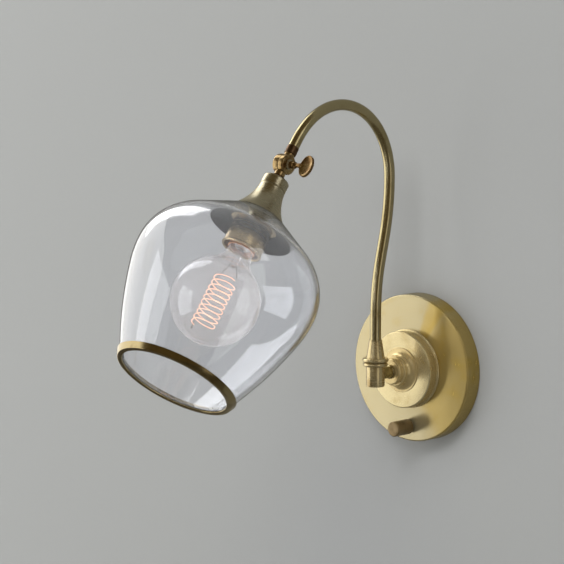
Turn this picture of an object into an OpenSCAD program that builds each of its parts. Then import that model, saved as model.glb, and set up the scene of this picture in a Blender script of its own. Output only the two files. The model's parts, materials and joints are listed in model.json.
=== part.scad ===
// Swivelling wall sconce: a spun wall plate with a stepped hub, a gooseneck arm
// that swivels on a short post, a key-clamped knuckle and a clear glass shade.
// The wall is the plane y = 0, the lamp stands out towards -y, and +z is up.
// The origin is the centre of the mounting bar, on the wall.

/* [Wall plate] */
// Diameter of the wall plate
plate_d = 136; // [120:1:160]
// Depth of the wall plate at its edge
plate_depth = 17; // [15:0.5:24]
// How far the middle of the plate's face stands in front of its edge
plate_crown = 2.4; // [1:0.1:4]
// Thickness of the spun sheet
plate_wall = 1.2; // [0.8:0.1:1.6]
// Rounding of the plate's front edge
plate_edge = 1.5; // [0.8:0.1:2]

/* [Mounting bar] */
// Length of the mounting bar behind the plate
bar_len = 110; // [100:1:116]
// Height of the mounting bar
bar_h = 19; // [16:0.5:26]
// Thickness of the mounting bar
bar_t = 2.5; // [2:0.1:4]
// Distance between the middles of the two wall screw slots
slot_spacing = 88.9; // [70:0.1:92]
// Length of each slot from end to end
slot_len = 12; // [8:0.5:14]
// Width of each slot
slot_w = 4.6; // [3.5:0.1:6]
// Distance of the earth screw from the middle of the bar
earth_x = 22; // [18:0.5:28]
// Diameter of the earth screw's thread
earth_d = 4; // [3:0.1:5]

/* [Hub] */
// Diameter of the raised disc on the plate
disc_d = 70.4; // [60:0.2:90]
// Height of the raised disc
disc_h = 12.4; // [8:0.1:18]
// Width of the bead round the disc's foot
disc_bead = 2.2; // [1.5:0.1:3]
// Length of the flared part of the hub
hub_flare = 7.8; // [5:0.1:10]
// Width of the step round the flare's foot
hub_step = 0.9; // [0.4:0.1:2]
// Width of the bead round the hub
hub_bead = 2.4; // [1.5:0.1:3.5]
// Diameter of the hub's front cylinder
hub_front_d = 24; // [20:0.2:30]
// Length of the hub's front cylinder
hub_front = 5; // [4:0.1:9]
// Diameter of the threaded tube that clamps plate and hub to the bar
nipple_d = 10; // [9:0.1:12]
// Bore of that tube
nipple_bore = 6.6; // [5.4:0.1:7]
// Distance across the flats of the nuts
nut_af = 16; // [14:0.5:20]
// Thickness of the nuts
nut_t = 3.2; // [2.5:0.1:5]

/* [Post and swivel] */
// Distance of the post's axis from the wall
post_reach = 66.4; // [60:0.2:90]
// Diameter of the stub between hub and post
stub_d = 10.8; // [10.2:0.1:13]
// Diameter of the post
post_d = 16.8; // [16:0.1:20]
// Length of the post below the stub's axis
post_below = 10.4; // [9.5:0.1:16]
// Length of the post above the stub's axis
post_above = 7.6; // [7:0.1:12]
// Wall of the post
post_wall = 1.6; // [1.2:0.1:2]
// Height of the lower swivel ring
ring_h = 3.8; // [3:0.1:5]
// Diameter of the lower swivel ring
ring_d = 22.6; // [20:0.1:28]
// Diameter of the hollow swivel stem
stem_d = 9.9; // [9:0.1:10.4]
// Bore of the swivel stem
stem_bore = 7.6; // [7:0.1:8]
// Thickness of the swivel's snap ring
clip_t = 1; // [0.8:0.1:1.4]

/* [Arm] */
// Outer diameter of the arm tube
tube_d = 10; // [9:0.1:11]
// Wall of the arm tube
tube_wall = 1; // [0.7:0.05:1.2]
// Diameter of the ferrule's bead
ferrule_d = 24; // [20:0.1:30]
// Height of the ferrule's bead
ferrule_bead = 3.8; // [3:0.1:5]
// Diameter of the ferrule's cone above its bead
ferrule_foot_d = 16.4; // [14:0.1:19]
// Height of the ferrule's cone
ferrule_cone = 16.4; // [14:0.1:24]
// Depth of the arm tube in the ferrule
tube_seat = 10; // [8:0.1:13]
// Straight rise of the tube above the ferrule
riser = 24.6; // [10:0.1:60]
// Angle at which the tube leans to the wall halfway up
lean = 14.5; // [5:0.1:20]
// Radius of the lower bend of that lean
lean_low_r = 190; // [150:1:260]
// Radius of the upper bend of that lean
lean_high_r = 220; // [150:1:260]
// Straight run between the two bends
lean_run = 21.3; // [5:0.1:40]
// Radius of the gooseneck
loop_r = 70; // [55:0.5:90]
// Straight run from the gooseneck's end to the knuckle's pivot
tip_run = 27.3; // [25:0.1:40]
// Length of the knurled collar on the tube's tip
collar_len = 8; // [5:0.1:12]
// Diameter of that collar
collar_d = 11.6; // [11:0.1:14]
// Length of the knuckle's spigot inside the tube
spigot_len = 7; // [4:0.1:8]

/* [Knuckle and key] */
// Angle of the shade from straight down
shade_tilt = 38.8; // [0:0.1:80]
// Diameter of the knuckle's drum
drum_d = 18.4; // [17:0.1:22]
// Half width of the drum on the key's side
drum_key_side = 5.5; // [4.5:0.1:7]
// Half width of the drum on the other side
drum_far_side = 7; // [6.5:0.1:9]
// Wall of the drum's hollow halves
drum_wall = 1.8; // [1.5:0.1:2.2]
// Diameter of the boss round the key's thread
drum_boss_d = 8.4; // [7.5:0.1:9.5]
// Diameter of the key's thread
key_d = 5; // [4:0.1:6]
// Diameter of the washer under the key
washer_d = 9.4; // [8:0.1:12]
// Thickness of the washer under the key
washer_t = 2; // [1:0.1:3]
// Distance of the middle of the key's paddle from the pivot
paddle_x = 25.8; // [24:0.1:32]
// Length of the paddle
paddle_len = 20.5; // [14:0.1:24]
// Width of the paddle along the key's axis
paddle_w = 14; // [10:0.1:15]
// Thickness of the paddle
paddle_t = 2.8; // [2:0.1:4]
// Angle of the paddle's length from straight up towards the wall
paddle_turn = 31; // [0:1:90]

/* [Shade holder] */
// Distance from the pivot to the top of the holder cap
cap_at = 16; // [15:0.1:22]
// Diameter of the holder cap
cap_d = 24; // [20:0.1:28]
// Height of the holder cap
cap_h = 10; // [9:0.1:14]
// Height of the knurled neck collar on the cap
neck_collar = 3.2; // [2:0.1:4]
// Length of the bell from the cap to its foot on the glass
bell_len = 29.2; // [26:0.1:32]
// Radius of the bell's hollow flare
bell_flare_r = 50; // [44:0.5:60]
// Angle at which the bell's flare starts from its axis
bell_top_angle = 5; // [2:0.5:8]
// Sheet thickness of the bell
bell_wall = 1.5; // [1:0.1:2]
// Diameter of the dark plate that holds the glass from inside
dish_d = 78.4; // [70:0.2:84]
// Sheet thickness of that plate
dish_t = 1.2; // [1:0.1:1.6]
// Thickness of the gasket between plate and glass
gasket_t = 0.4; // [0.3:0.1:0.8]
// Diameter of the brass washer on the plate
seat_d = 46; // [42:0.2:48]
// Thickness of the brass washer
seat_t = 1.4; // [1:0.1:2]

/* [Glass shade] */
// Greatest diameter of the shade
glass_d = 170; // [164:0.5:174]
// Angle of the shade's shoulder from its axis
shoulder_angle = 57; // [55:0.5:60]
// Radius of the round shoulder
shoulder_r = 49.7; // [48:0.1:51]
// Radius of the bend below the widest place
waist_r = 93; // [85:0.5:105]
// Angle through which that bend turns
waist_angle = 13; // [10:0.5:15]
// Radius of the long side down to the mouth
side_r = 361; // [300:1:450]
// Diameter of the hole in the shade's crown
glass_hole_d = 40; // [38:0.2:43]
// Thickness of the glass
glass_t = 2.8; // [2:0.1:3.4]
// Distance from where the shade is widest to the front of the mouth band
mouth_below = 105.4; // [95:0.1:115]
// Height of the mouth band
band_h = 5.6; // [4:0.1:9]
// Thickness of the mouth band outside the glass
band_t = 2.8; // [1.6:0.1:3.5]
// Thickness of the band's front lip
lip_t = 1.6; // [1:0.1:2.4]
// Width of the band's front lip
lip_w = 4.6; // [3:0.1:6]

/* [Lampholder] */
// Outer diameter of the lampholder's cup
cup_d = 36.2; // [34:0.1:38]
// Length of the cup
cup_len = 29.8; // [27:0.1:34]
// Wall of the cup
cup_wall = 0.8; // [0.6:0.1:1.2]
// Width of the rolled lip round the cup's mouth
cup_lip = 0.9; // [0.5:0.1:1.5]
// Depth of the insulator in the cup
insulator_h = 18; // [14:0.1:21]
// Wall of the threaded shell
shell_t = 0.4; // [0.3:0.05:0.6]
// Clearance between the bulb's cap and the threaded shell
shell_gap = 0.3; // [0.2:0.05:0.5]

/* [Bulb] */
// Diameter of the bulb's globe
globe_d = 80; // [70:0.5:82]
// Distance from the front of the screw cap to the middle of the globe
globe_out = 53.3; // [50:0.1:58]
// Thickness of the bulb's glass
globe_t = 0.8; // [0.6:0.1:1.2]
// Diameter of the bulb's screw cap
bulb_cap_d = 26; // [25:0.1:27]
// Length of the bulb's screw cap
bulb_cap_len = 22; // [20:0.1:24]
// Length of the black insulator and contact behind the screw cap
bulb_tip_len = 4.4; // [3.5:0.1:5]
// Pitch of the screw cap's thread
cap_pitch = 3.6; // [3:0.1:5]
// Length of the glass stem inside the bulb
mount_len = 17; // [12:0.1:20]
// Diameter of the glass stem
mount_d = 7; // [5:0.1:9]

/* [Filament] */
// Turns of the wound filament, which ends on the far side
filament_turns = 9.5; // [5.5:1:12.5]
// Pitch of the filament's turns
filament_pitch = 5; // [4:0.1:6]
// Diameter of the wound filament
filament_d = 21; // [14:0.1:26]
// Thickness of the filament's wire
filament_wire = 0.7; // [0.5:0.05:1]
// Thickness of the support wires
support_wire = 0.8; // [0.6:0.05:1.2]

/* [Switch] */
// Distance of the knob below the middle of the plate
knob_drop = 54; // [50:0.2:56]
// Diameter of the knob
knob_d = 14; // [12:0.1:18]
// Length of the knob
knob_len = 21.5; // [14:0.1:26]
// Gap between the knob and the plate
knob_gap = 1.8; // [1:0.1:3]
// Diameter of the switch's threaded bush
bush_d = 7; // [6:0.1:8]
// Diameter of the switch's shaft
shaft_d = 4; // [3:0.1:5]
// Width and height of the switch's body
switch_w = 17; // [14:0.1:18]
// Depth of the switch's body
switch_t = 9; // [7:0.1:10]

/* [Wiring and fits] */
// Diameter of the twin lead through the arm
lead_d = 4.6; // [3:0.1:5]
// Radial clearance of a turning fit
run_gap = 0.05; // [0.02:0.01:0.1]
// Radial clearance of a threaded or sleeved joint that stays put
seat_gap = 0.05; // [0.02:0.01:0.1]
// Clearance between faces of pieces that turn on each other
face_gap = 0.3; // [0.2:0.05:0.4]

/* [Hidden] */
$fn = 96;
fine = 360;
eps = 0.01;
// A cut runs past the face that it opens by this length
past = 1;
// Stretches of a bent rod lap by this length, and every other one is this much thinner
lap = 0.6;
hair = 0.03;
brass = "#b39a5a";
bronze = "#6b5430";
steel = "#a9abad";

// Wall side, as distances in front of the wall
plate_r = plate_d / 2;
crown_run = plate_r - plate_edge;
crown_r = (crown_run * crown_run + plate_crown * plate_crown) / (2 * plate_crown);
crown_centre = plate_depth + plate_crown - crown_r;
function face_at(r) = crown_centre + sqrt(crown_r * crown_r - r * r);
disc_r = disc_d / 2;
disc_groove = 0.5;
disc_inner = disc_r - plate_wall - disc_groove;
disc_seat = face_at(disc_inner);
disc_face = disc_seat + disc_h;
hub_bead_at = disc_face + hub_flare;
hub_front_at = hub_bead_at + hub_bead;
hub_end = hub_front_at + hub_front;
nipple_r = nipple_d / 2;
nipple_end = disc_face + hub_flare;
stub_r = stub_d / 2;
stub_in = 4;
post_r = post_d / 2;

// Post and swivel, as heights about the stub's axis
chamber_r = post_r - post_wall;
web_at = min(stub_r - 0.4, post_above - 2.6);
ring_top = post_above + ring_h;
stem_r = stem_d / 2;
clip_groove = 0.6;
clip_at = web_at - run_gap - 0.15 - clip_t;
stem_bottom = clip_at - 0.3;
ferrule_at = ring_top + face_gap;
cone_at = ferrule_at + ferrule_bead;
ferrule_top = cone_at + ferrule_cone;
tube_r = tube_d / 2;
tube_bore = tube_r - tube_wall;
tube_bottom = ferrule_top - tube_seat;
lead_r = lead_d / 2;
lead_bend = stem_bottom + 3;

// The arm's centreline in the plane x = 0, as y and z
riser_top = ferrule_top + riser;
low_y = -post_reach + lean_low_r;
low_end = [low_y - lean_low_r * cos(lean), riser_top + lean_low_r * sin(lean)];
high_start = low_end + lean_run * [sin(lean), cos(lean)];
high_y = high_start[0] - lean_high_r * cos(lean);
loop_z = high_start[1] + lean_high_r * sin(lean);
loop_y = high_y + lean_high_r - loop_r;
loop_end_angle = 180 - shade_tilt;
loop_end = [loop_y + loop_r * cos(loop_end_angle), loop_z + loop_r * sin(loop_end_angle)];
pivot = loop_end - tip_run * [sin(shade_tilt), cos(shade_tilt)];
echo(pivot = pivot);

// Knuckle and shade, as distances along the shade's axis from the pivot
drum_r = drum_d / 2;
key_r = key_d / 2;
collar_at = drum_r + 1.2;
collar_end = collar_at + collar_len;
neck_r = 4.8;
neck_ring_r = neck_r + 1.5;
knurl_count = 24;
knurl_deep = 0.7;
wire_bore = 2.6;
spigot_r = tube_bore - seat_gap;
groove_in = drum_boss_d / 2;
groove_out = drum_r - drum_wall;
// The leads are kept clear of the turning drum
lead_stop = drum_r + 2 * face_gap;
cap_r = cap_d / 2;
cap_end = cap_at + cap_h;
neck_at = cap_at - neck_collar;
bell_end = cap_end + bell_len;
flare_r = cap_r + bell_flare_r * cos(bell_top_angle);
flare_at = cap_end - bell_flare_r * sin(bell_top_angle);
bell_foot_r = flare_r - sqrt(bell_flare_r * bell_flare_r - (bell_end - flare_at) * (bell_end - flare_at));

// Glass shade, from its three tangent arcs. The bell's foot stands on its shoulder
glass_r = glass_d / 2;
glass_wide_at = bell_end + (glass_r - shoulder_r + shoulder_r * cos(shoulder_angle) - bell_foot_r)
  / tan(shoulder_angle) + shoulder_r * sin(shoulder_angle);
mouth_at = glass_wide_at + mouth_below;
side_s = glass_wide_at + waist_r * sin(waist_angle) - side_r * sin(waist_angle);
side_c = glass_r - waist_r + (waist_r - side_r) * cos(waist_angle);
glass_end = mouth_at - lip_t;
function shoulder_s(inset) = glass_wide_at - (shoulder_r - inset) * sin(shoulder_angle);
function shoulder_c(inset) = glass_r - shoulder_r + (shoulder_r - inset) * cos(shoulder_angle);
// Distance along the axis where the inset shoulder has radius r
function shoulder_at(r, inset) =
  shoulder_s(inset) - (shoulder_c(inset) - r) / tan(shoulder_angle);
function side_radius(s, inset) =
  side_c + sqrt((side_r - inset) * (side_r - inset) - (s - side_s) * (s - side_s));
dish_top = glass_t + gasket_t;
dish_under = dish_top + dish_t;
dish_r = dish_d / 2;
seat_r = seat_d / 2;
flat_at = shoulder_at(seat_r, dish_under);
cup_at = flat_at + seat_t;
cup_r = cup_d / 2;
cup_end = cup_at + cup_len;
boss_h = 1.6;
thread_end = cup_at + boss_h;
floor_t = 1;
floor_at = thread_end + 0.2;
contact_t = 0.6;
bulb_tip_at = floor_at + floor_t + contact_t;

// Lampholder and bulb
bulb_cap_r = bulb_cap_d / 2;
shell_r = bulb_cap_r + shell_gap;
shell_out = 1;
bulb_cap_at = bulb_tip_at + bulb_tip_len;
cap_front = bulb_cap_at + bulb_cap_len;
globe_at = cap_front + globe_out;
globe_r = globe_d / 2;
cap_wall = 1.4;
bulb_neck_r = bulb_cap_r - cap_wall - seat_gap;
neck_in = 3;
neck_fillet = ((globe_at - cap_front) * (globe_at - cap_front) + bulb_neck_r * bulb_neck_r
  - globe_r * globe_r) / (2 * (globe_r - bulb_neck_r));
fillet_turn = atan2(globe_at - cap_front, bulb_neck_r + neck_fillet);
mount_at = cap_front + 1;
mount_end = mount_at + mount_len;
filament_r = filament_d / 2;
filament_len = filament_turns * filament_pitch;
filament_at = globe_at + 1.5 - filament_len / 2;
filament_steps = 24;
// Straight end of the filament past its last turn
end_len = 0.8 + 2 * filament_wire;
support_r = support_wire / 2;
support_side = mount_d / 4;
support_root = mount_end - mount_d;
support_out = filament_r + filament_wire / 2 + support_r + 0.6;

// Switch, in front of the wall
plate_face_knob = face_at(knob_drop);
knob_at = face_at(knob_drop - knob_d / 2) + knob_gap;
switch_back = face_at(knob_drop + switch_w / 2) - plate_wall - 0.6 - switch_t;
bush_nut_t = 1.1;
bush_end = plate_face_knob + bush_nut_t + face_gap;
shaft_floor = 2;
knob_bore_len = 0.6 * knob_len;

// Frames: distance in front of the wall, the post's axis, the shade's axis
module from_wall() {
  rotate([90, 0, 0]) children();
}
module at_post() {
  translate([0, -post_reach, 0]) children();
}
module at_pivot() {
  translate([0, pivot[0], pivot[1]]) rotate([180 - shade_tilt, 0, 0]) children();
}
// Local z runs along +x
module along_x() {
  rotate([0, 90, 0]) children();
}

// Points along an arc about the centre x, y from angle a0 to a1, in so many steps
function arc(x, y, r, a0, a1, steps) =
  [for (i = [0 : steps]) let (a = a0 + (a1 - a0) * i / steps) [x + r * cos(a), y + r * sin(a)]];

// A turned ring from radius r1 to r2 and from height z1 to z2
module ring(r1, r2, z1, z2) {
  translate([0, 0, z1]) rotate_extrude() translate([r1, 0]) square([r2 - r1, z2 - z1]);
}
// A turned bead: a ring with a half-round edge
module bead(r1, r2, z1, z2) {
  half = (z2 - z1) / 2;
  rotate_extrude() {
    translate([r1, z1]) square([r2 - half - r1, z2 - z1]);
    translate([r2 - half, z1 + half]) circle(half);
  }
}
// Grooves along a knurled cylinder
module knurl(r, z1, z2, count, depth) {
  for (i = [0 : count - 1])
    rotate(i * 360 / count) translate([r, 0, z1 - past]) rotate(45)
      translate([-depth / 2, -depth / 2, 0]) cube([depth, depth, z2 - z1 + 2 * past]);
}
module hex(af, t) {
  cylinder(d = af / cos(30), h = t, $fn = 6);
}
// Bent rod in the plane x = 0, about the centre cy, cz
module bend(cy, cz, r, a0, a1, rod_r) {
  translate([0, cy, cz]) rotate([90, 0, 90]) rotate([0, 0, a0])
    rotate_extrude(angle = a1 - a0, $fn = fine) translate([r, 0]) circle(rod_r, $fn = 48);
}
// Bent rod that laps a hair thinner into the stretch at each of its ends
module lapped_bend(cy, cz, r, a0, a1, rod_r) {
  lap_angle = lap / r * 180 / PI;
  bend(cy, cz, r, a0 - lap_angle, a1 + lap_angle, rod_r - hair);
}
// Straight rod in the plane x = 0 from p, leaning by angle a from +z towards +y
module run(p, a, len, rod_r) {
  translate([0, p[0], p[1]]) rotate([-a, 0, 0]) cylinder(r = rod_r, h = len);
}

// Wall side
module mounting_bar() {
  end_r = bar_h / 2;
  color(steel) from_wall() difference() {
    linear_extrude(bar_t) {
      square([bar_len - bar_h, bar_h], center = true);
      for (s = [-1, 1]) translate([s * (bar_len / 2 - end_r), 0]) circle(end_r);
    }
    translate([0, 0, -past]) cylinder(r = nipple_r + seat_gap, h = bar_t + 2 * past);
    translate([earth_x, 0, -past]) cylinder(d = earth_d + 2 * seat_gap, h = bar_t + 2 * past);
    for (s = [-1, 1]) translate([s * slot_spacing / 2, 0, -past]) linear_extrude(bar_t + 2 * past) {
      square([slot_len - slot_w, slot_w], center = true);
      for (e = [-1, 1]) translate([e * (slot_len - slot_w) / 2, 0]) circle(slot_w / 2);
    }
  }
}

module earth_screw() {
  head_r = earth_d;
  head_h = 2.2;
  driver_w = 1;
  driver_deep = 0.9;
  color("#3f7d4c") from_wall() translate([earth_x, 0, 0]) difference() {
    union() {
      cylinder(d = earth_d, h = bar_t + head_h / 2);
      translate([0, 0, bar_t]) cylinder(r = head_r, h = head_h);
    }
    translate([-head_r - past, -driver_w / 2, bar_t + head_h - driver_deep])
      cube([2 * (head_r + past), driver_w, driver_deep + past]);
  }
}

module nut_on_nipple(at) {
  from_wall() translate([0, 0, at]) difference() {
    hex(nut_af, nut_t);
    translate([0, 0, -past]) cylinder(r = nipple_r + seat_gap, h = nut_t + 2 * past);
  }
}
module bar_nut() {
  color(steel) nut_on_nipple(bar_t);
}
module plate_nut() {
  color(steel) nut_on_nipple(crown_centre + crown_r - plate_wall - nut_t - 2 * seat_gap);
}

module centre_nipple() {
  color(steel) from_wall() ring(nipple_bore / 2, nipple_r, face_gap, nipple_end);
}

// Solid form of the plate, drawn in from its outside by inset
module plate_form(inset) {
  edge = inset > 0 ? 0 : plate_edge;
  r = plate_r - inset;
  d = plate_depth - inset;
  square([r, d - edge]);
  square([r - edge, d]);
  if (edge > 0) translate([r - edge, d - edge]) circle(edge);
  intersection() {
    translate([0, d - eps]) square([crown_run, plate_crown + past]);
    translate([0, crown_centre]) circle(crown_r - inset, $fn = 1440);
  }
}
module wall_plate() {
  color(brass) from_wall() difference() {
    rotate_extrude($fn = 180) difference() {
      plate_form(0);
      translate([0, -eps]) square([plate_r - plate_wall, plate_wall]);
      plate_form(plate_wall);
    }
    cylinder(r = nipple_r + seat_gap, h = 2 * plate_depth);
    translate([0, -knob_drop, 0]) cylinder(r = bush_d / 2 + seat_gap, h = 2 * plate_depth);
  }
}

module hub_disc() {
  top_edge = 1;
  bead_out = 1.2;
  color(brass) from_wall() translate([0, 0, disc_seat]) difference() {
    union() {
      rotate_extrude($fn = 180) {
        square([disc_r - top_edge, disc_h]);
        square([disc_r, disc_h - top_edge]);
        translate([disc_r - top_edge, disc_h - top_edge]) circle(top_edge);
      }
      bead(disc_inner, disc_r + bead_out, 0, disc_bead);
    }
    ring(disc_inner + plate_wall, disc_r + bead_out, disc_bead + disc_groove,
      disc_bead + 2.4 * disc_groove);
    translate([0, 0, -past]) cylinder(r = disc_inner, h = disc_h + past - plate_wall);
    cylinder(r = nipple_r + seat_gap, h = disc_h + 1);
  }
}

module hub() {
  front_r = hub_front_d / 2;
  front_edge = 1;
  bead_out = 2.2;
  waist = front_r + 0.6;
  foot_h = 0.8;
  // The flare is a hollow quarter round on a low foot
  arc_r = hub_flare - foot_h;
  base_r = waist + arc_r + hub_step;
  color(brass) from_wall() difference() {
    union() {
      translate([0, 0, disc_face]) rotate_extrude($fn = 144) {
        square([base_r, foot_h]);
        difference() {
          square([waist + arc_r, hub_flare]);
          translate([waist + arc_r, hub_flare]) circle(arc_r, $fn = 144);
        }
      }
      bead(nipple_r, front_r + bead_out, hub_bead_at, hub_front_at);
      translate([0, 0, hub_front_at]) cylinder(r = front_r, h = hub_front - front_edge);
      translate([0, 0, hub_end - front_edge])
        cylinder(r1 = front_r, r2 = front_r - 0.8 * front_edge, h = front_edge);
    }
    translate([0, 0, disc_face - past])
      cylinder(r = nipple_r + seat_gap, h = nipple_end - disc_face + past);
    cylinder(r = nipple_bore / 2, h = hub_end);
    translate([0, 0, hub_end - stub_in]) cylinder(r = stub_r + seat_gap, h = stub_in + past);
  }
}

module stub() {
  collar = 0.9;
  color(bronze) from_wall() difference() {
    union() {
      translate([0, 0, hub_end - stub_in]) cylinder(r = stub_r, h = post_reach - hub_end + stub_in);
      ring(stub_r - collar, stub_r + collar, hub_end, hub_end + 1.5 * collar);
    }
    translate([0, 0, hub_end - stub_in - past]) cylinder(r = nipple_bore / 2, h = post_reach);
    translate([0, 0, post_reach]) rotate([90, 0, 0])
      cylinder(r = post_r + eps, h = 4 * post_r, center = true);
  }
}

module post() {
  color(bronze) at_post() difference() {
    translate([0, 0, -post_below]) cylinder(r = post_r, h = post_below + post_above);
    translate([0, 0, -post_below - past]) cylinder(r = chamber_r, h = post_below + past + web_at);
    cylinder(r = stem_r + run_gap, h = post_above + past);
    rotate([-90, 0, 0]) cylinder(r = nipple_bore / 2, h = post_r + past);
  }
}

module post_plug() {
  plug_h = 2.4;
  rim = 0.5;
  color(bronze) at_post() {
    translate([0, 0, -post_below]) cylinder(r = chamber_r - seat_gap, h = plug_h);
    translate([0, 0, -post_below - rim]) cylinder(r = post_r - rim, h = rim);
  }
}

module post_ring() {
  color(bronze) at_post() bead(stem_r + run_gap, ring_d / 2, post_above, ring_top);
}

module wall_lead() {
  turn_y = -post_reach + lead_bend;
  color("#2b2b2b") {
    from_wall() translate([0, 0, bar_t]) cylinder(r = lead_r, h = -turn_y - bar_t);
    lapped_bend(turn_y, lead_bend, lead_bend, 180, 270, lead_r);
    run([-post_reach, lead_bend], 0, ring_top - lead_bend, lead_r);
  }
}

// Arm
module swivel_stem() {
  color(steel) at_post() difference() {
    ring(stem_bore / 2, stem_r, stem_bottom, tube_bottom);
    ring(stem_r - clip_groove, stem_r + past, clip_at, clip_at + clip_t);
  }
}

module snap_ring() {
  inner = stem_r - clip_groove;
  outer = chamber_r - face_gap;
  gap_w = 3;
  color("#3a3a3c") at_post() difference() {
    ring(inner, outer, clip_at, clip_at + clip_t);
    translate([-gap_w / 2, -outer - past, clip_at - past])
      cube([gap_w, outer - inner + 3 * past, clip_t + 2 * past]);
  }
}

module ferrule() {
  foot_r = ferrule_foot_d / 2;
  foot_step = 0.6;
  top_r = tube_r + 0.9;
  land = 0.8;
  color(bronze) at_post() difference() {
    union() {
      bead(stem_r, ferrule_d / 2, ferrule_at, cone_at);
      translate([0, 0, cone_at]) cylinder(r = foot_r + foot_step, h = land);
      translate([0, 0, cone_at + land]) cylinder(r1 = foot_r, r2 = top_r, h = ferrule_cone - 2 * land);
      translate([0, 0, ferrule_top - land]) cylinder(r = top_r, h = land);
    }
    translate([0, 0, ferrule_at - past])
      cylinder(r = stem_r + seat_gap, h = tube_bottom - ferrule_at + past);
    translate([0, 0, tube_bottom]) cylinder(r = tube_r + seat_gap, h = tube_seat + past);
  }
}

// A rod along the whole arm, from height bottom to distance stop short of the pivot
module arm_path(bottom, stop, rod_r) {
  tip_start = loop_end + lap * [sin(shade_tilt), cos(shade_tilt)];
  run([-post_reach, bottom], 0, riser_top - bottom, rod_r);
  lapped_bend(low_y, riser_top, lean_low_r, 180 - lean, 180, rod_r);
  run(low_end, lean, lean_run, rod_r);
  lapped_bend(high_y, loop_z, lean_high_r, -lean, 0, rod_r);
  bend(loop_y, loop_z, loop_r, 0, loop_end_angle, rod_r);
  run(tip_start, 180 + shade_tilt, tip_run - stop + lap, rod_r - hair);
}
module arm_tube() {
  color(bronze) difference() {
    arm_path(tube_bottom, collar_end, tube_r);
    arm_path(tube_bottom - past, collar_end - past, tube_bore);
  }
}
module arm_lead() {
  color("#2b2b2b") arm_path(ring_top + face_gap, lead_stop, lead_r);
}

module tip_collar() {
  color("#3b2c1a") at_pivot() difference() {
    ring(spigot_r + seat_gap, collar_d / 2, -collar_end, -collar_at);
    knurl(collar_d / 2, -collar_end, -collar_at, knurl_count, knurl_deep);
  }
}

// Hollow half of the knuckle's drum on the side where x is positive
module drum_half(width) {
  round = 1.6;
  along_x() difference() {
    rotate_extrude() {
      square([drum_r - round, width]);
      square([drum_r, width - round]);
      translate([drum_r - round, width - round]) circle(round);
    }
    translate([0, 0, -past]) cylinder(r = key_r + run_gap, h = width + 2 * past);
    ring(groove_in, groove_out, -past, width - drum_wall);
  }
}
module knuckle_upper() {
  color(bronze) at_pivot() difference() {
    union() {
      translate([face_gap / 2, 0, 0]) drum_half(drum_key_side - face_gap / 2);
      difference() {
        translate([0, 0, -collar_at]) cylinder(r = neck_r, h = collar_at - groove_out);
        along_x() translate([0, 0, face_gap / 2 - drum_far_side - past])
          cylinder(r = drum_r + face_gap, h = drum_far_side + past);
      }
      translate([0, 0, -collar_end - spigot_len]) cylinder(r = spigot_r, h = spigot_len + collar_len);
    }
    translate([0, 0, -collar_end - spigot_len - past])
      cylinder(r = wire_bore, h = collar_end + spigot_len + past - groove_in);
  }
}

module key_washer() {
  color(brass) at_pivot() along_x() translate([0, 0, drum_key_side]) difference() {
    union() {
      cylinder(d = washer_d, h = washer_t * 0.6);
      cylinder(d = washer_d - 1.6, h = washer_t);
    }
    translate([0, 0, -past]) cylinder(r = key_r + run_gap, h = washer_t + 2 * past);
  }
}

module thumb_key() {
  flange_at = drum_key_side + washer_t + 2 * run_gap;
  flange_t = 1.4;
  ball_r = 3.3;
  flange_r = ball_r + 0.5;
  shank_r = 0.7 * ball_r;
  shank_end = paddle_x - paddle_w / 2 + shank_r;
  thread_start = drum_wall + 2 * face_gap - drum_far_side;
  steps = 40;
  // Its width follows the pivot's axis and its length crosses it
  color(bronze) at_pivot() {
    along_x() {
      translate([0, 0, thread_start]) cylinder(r = key_r, h = flange_at - thread_start + eps);
      translate([0, 0, flange_at]) cylinder(r = flange_r, h = flange_t);
      translate([0, 0, flange_at + flange_t + shank_r]) sphere(ball_r);
      translate([0, 0, flange_at]) cylinder(r = shank_r, h = shank_end - flange_at);
    }
    translate([paddle_x, 0, 0]) rotate([shade_tilt - paddle_turn - 180, 0, 0])
      translate([0, paddle_t / 2, 0]) rotate([90, 0, 0]) linear_extrude(paddle_t)
        polygon([for (i = [0 : steps - 1])
          [paddle_w / 2 * cos(i * 360 / steps), paddle_len / 2 * sin(i * 360 / steps)]]);
  }
}

// Shade
module knuckle_lower() {
  color(bronze) at_pivot() difference() {
    union() {
      mirror([1, 0, 0]) translate([face_gap / 2, 0, 0]) drum_half(drum_far_side - face_gap / 2);
      difference() {
        translate([0, 0, groove_out]) cylinder(r = neck_r, h = cap_at + cap_h / 2 - groove_out);
        along_x() translate([0, 0, -face_gap / 2])
          cylinder(r = drum_r + face_gap, h = drum_key_side + past);
      }
    }
    translate([0, 0, groove_in]) cylinder(r = wire_bore, h = cap_end);
  }
}

module neck_collar_ring() {
  color("#3b2c1a") at_pivot() difference() {
    ring(neck_r + seat_gap, neck_ring_r, neck_at, cap_at);
    knurl(neck_ring_r, neck_at, cap_at, knurl_count, knurl_deep);
  }
}

module holder_cap() {
  edge = 1.2;
  foot_step = 0.6;
  color(brass) at_pivot() difference() {
    union() {
      translate([0, 0, cap_at]) cylinder(r1 = cap_r - edge, r2 = cap_r, h = edge);
      translate([0, 0, cap_at + edge]) cylinder(r = cap_r, h = cap_h - edge - foot_step);
      translate([0, 0, cap_end - foot_step]) cylinder(r = cap_r - foot_step, h = foot_step);
    }
    translate([0, 0, cap_at - past]) cylinder(r = neck_r + seat_gap, h = cap_h + 2 * past);
  }
}

module shade_nipple() {
  color(steel) at_pivot() ring(wire_bore, neck_r, cap_at + cap_h / 2 + 0.2, thread_end);
}

module shade_lead() {
  color("#2b2b2b") at_pivot() translate([0, 0, lead_stop]) cylinder(r = lead_r, h = thread_end - lead_stop);
}

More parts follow.
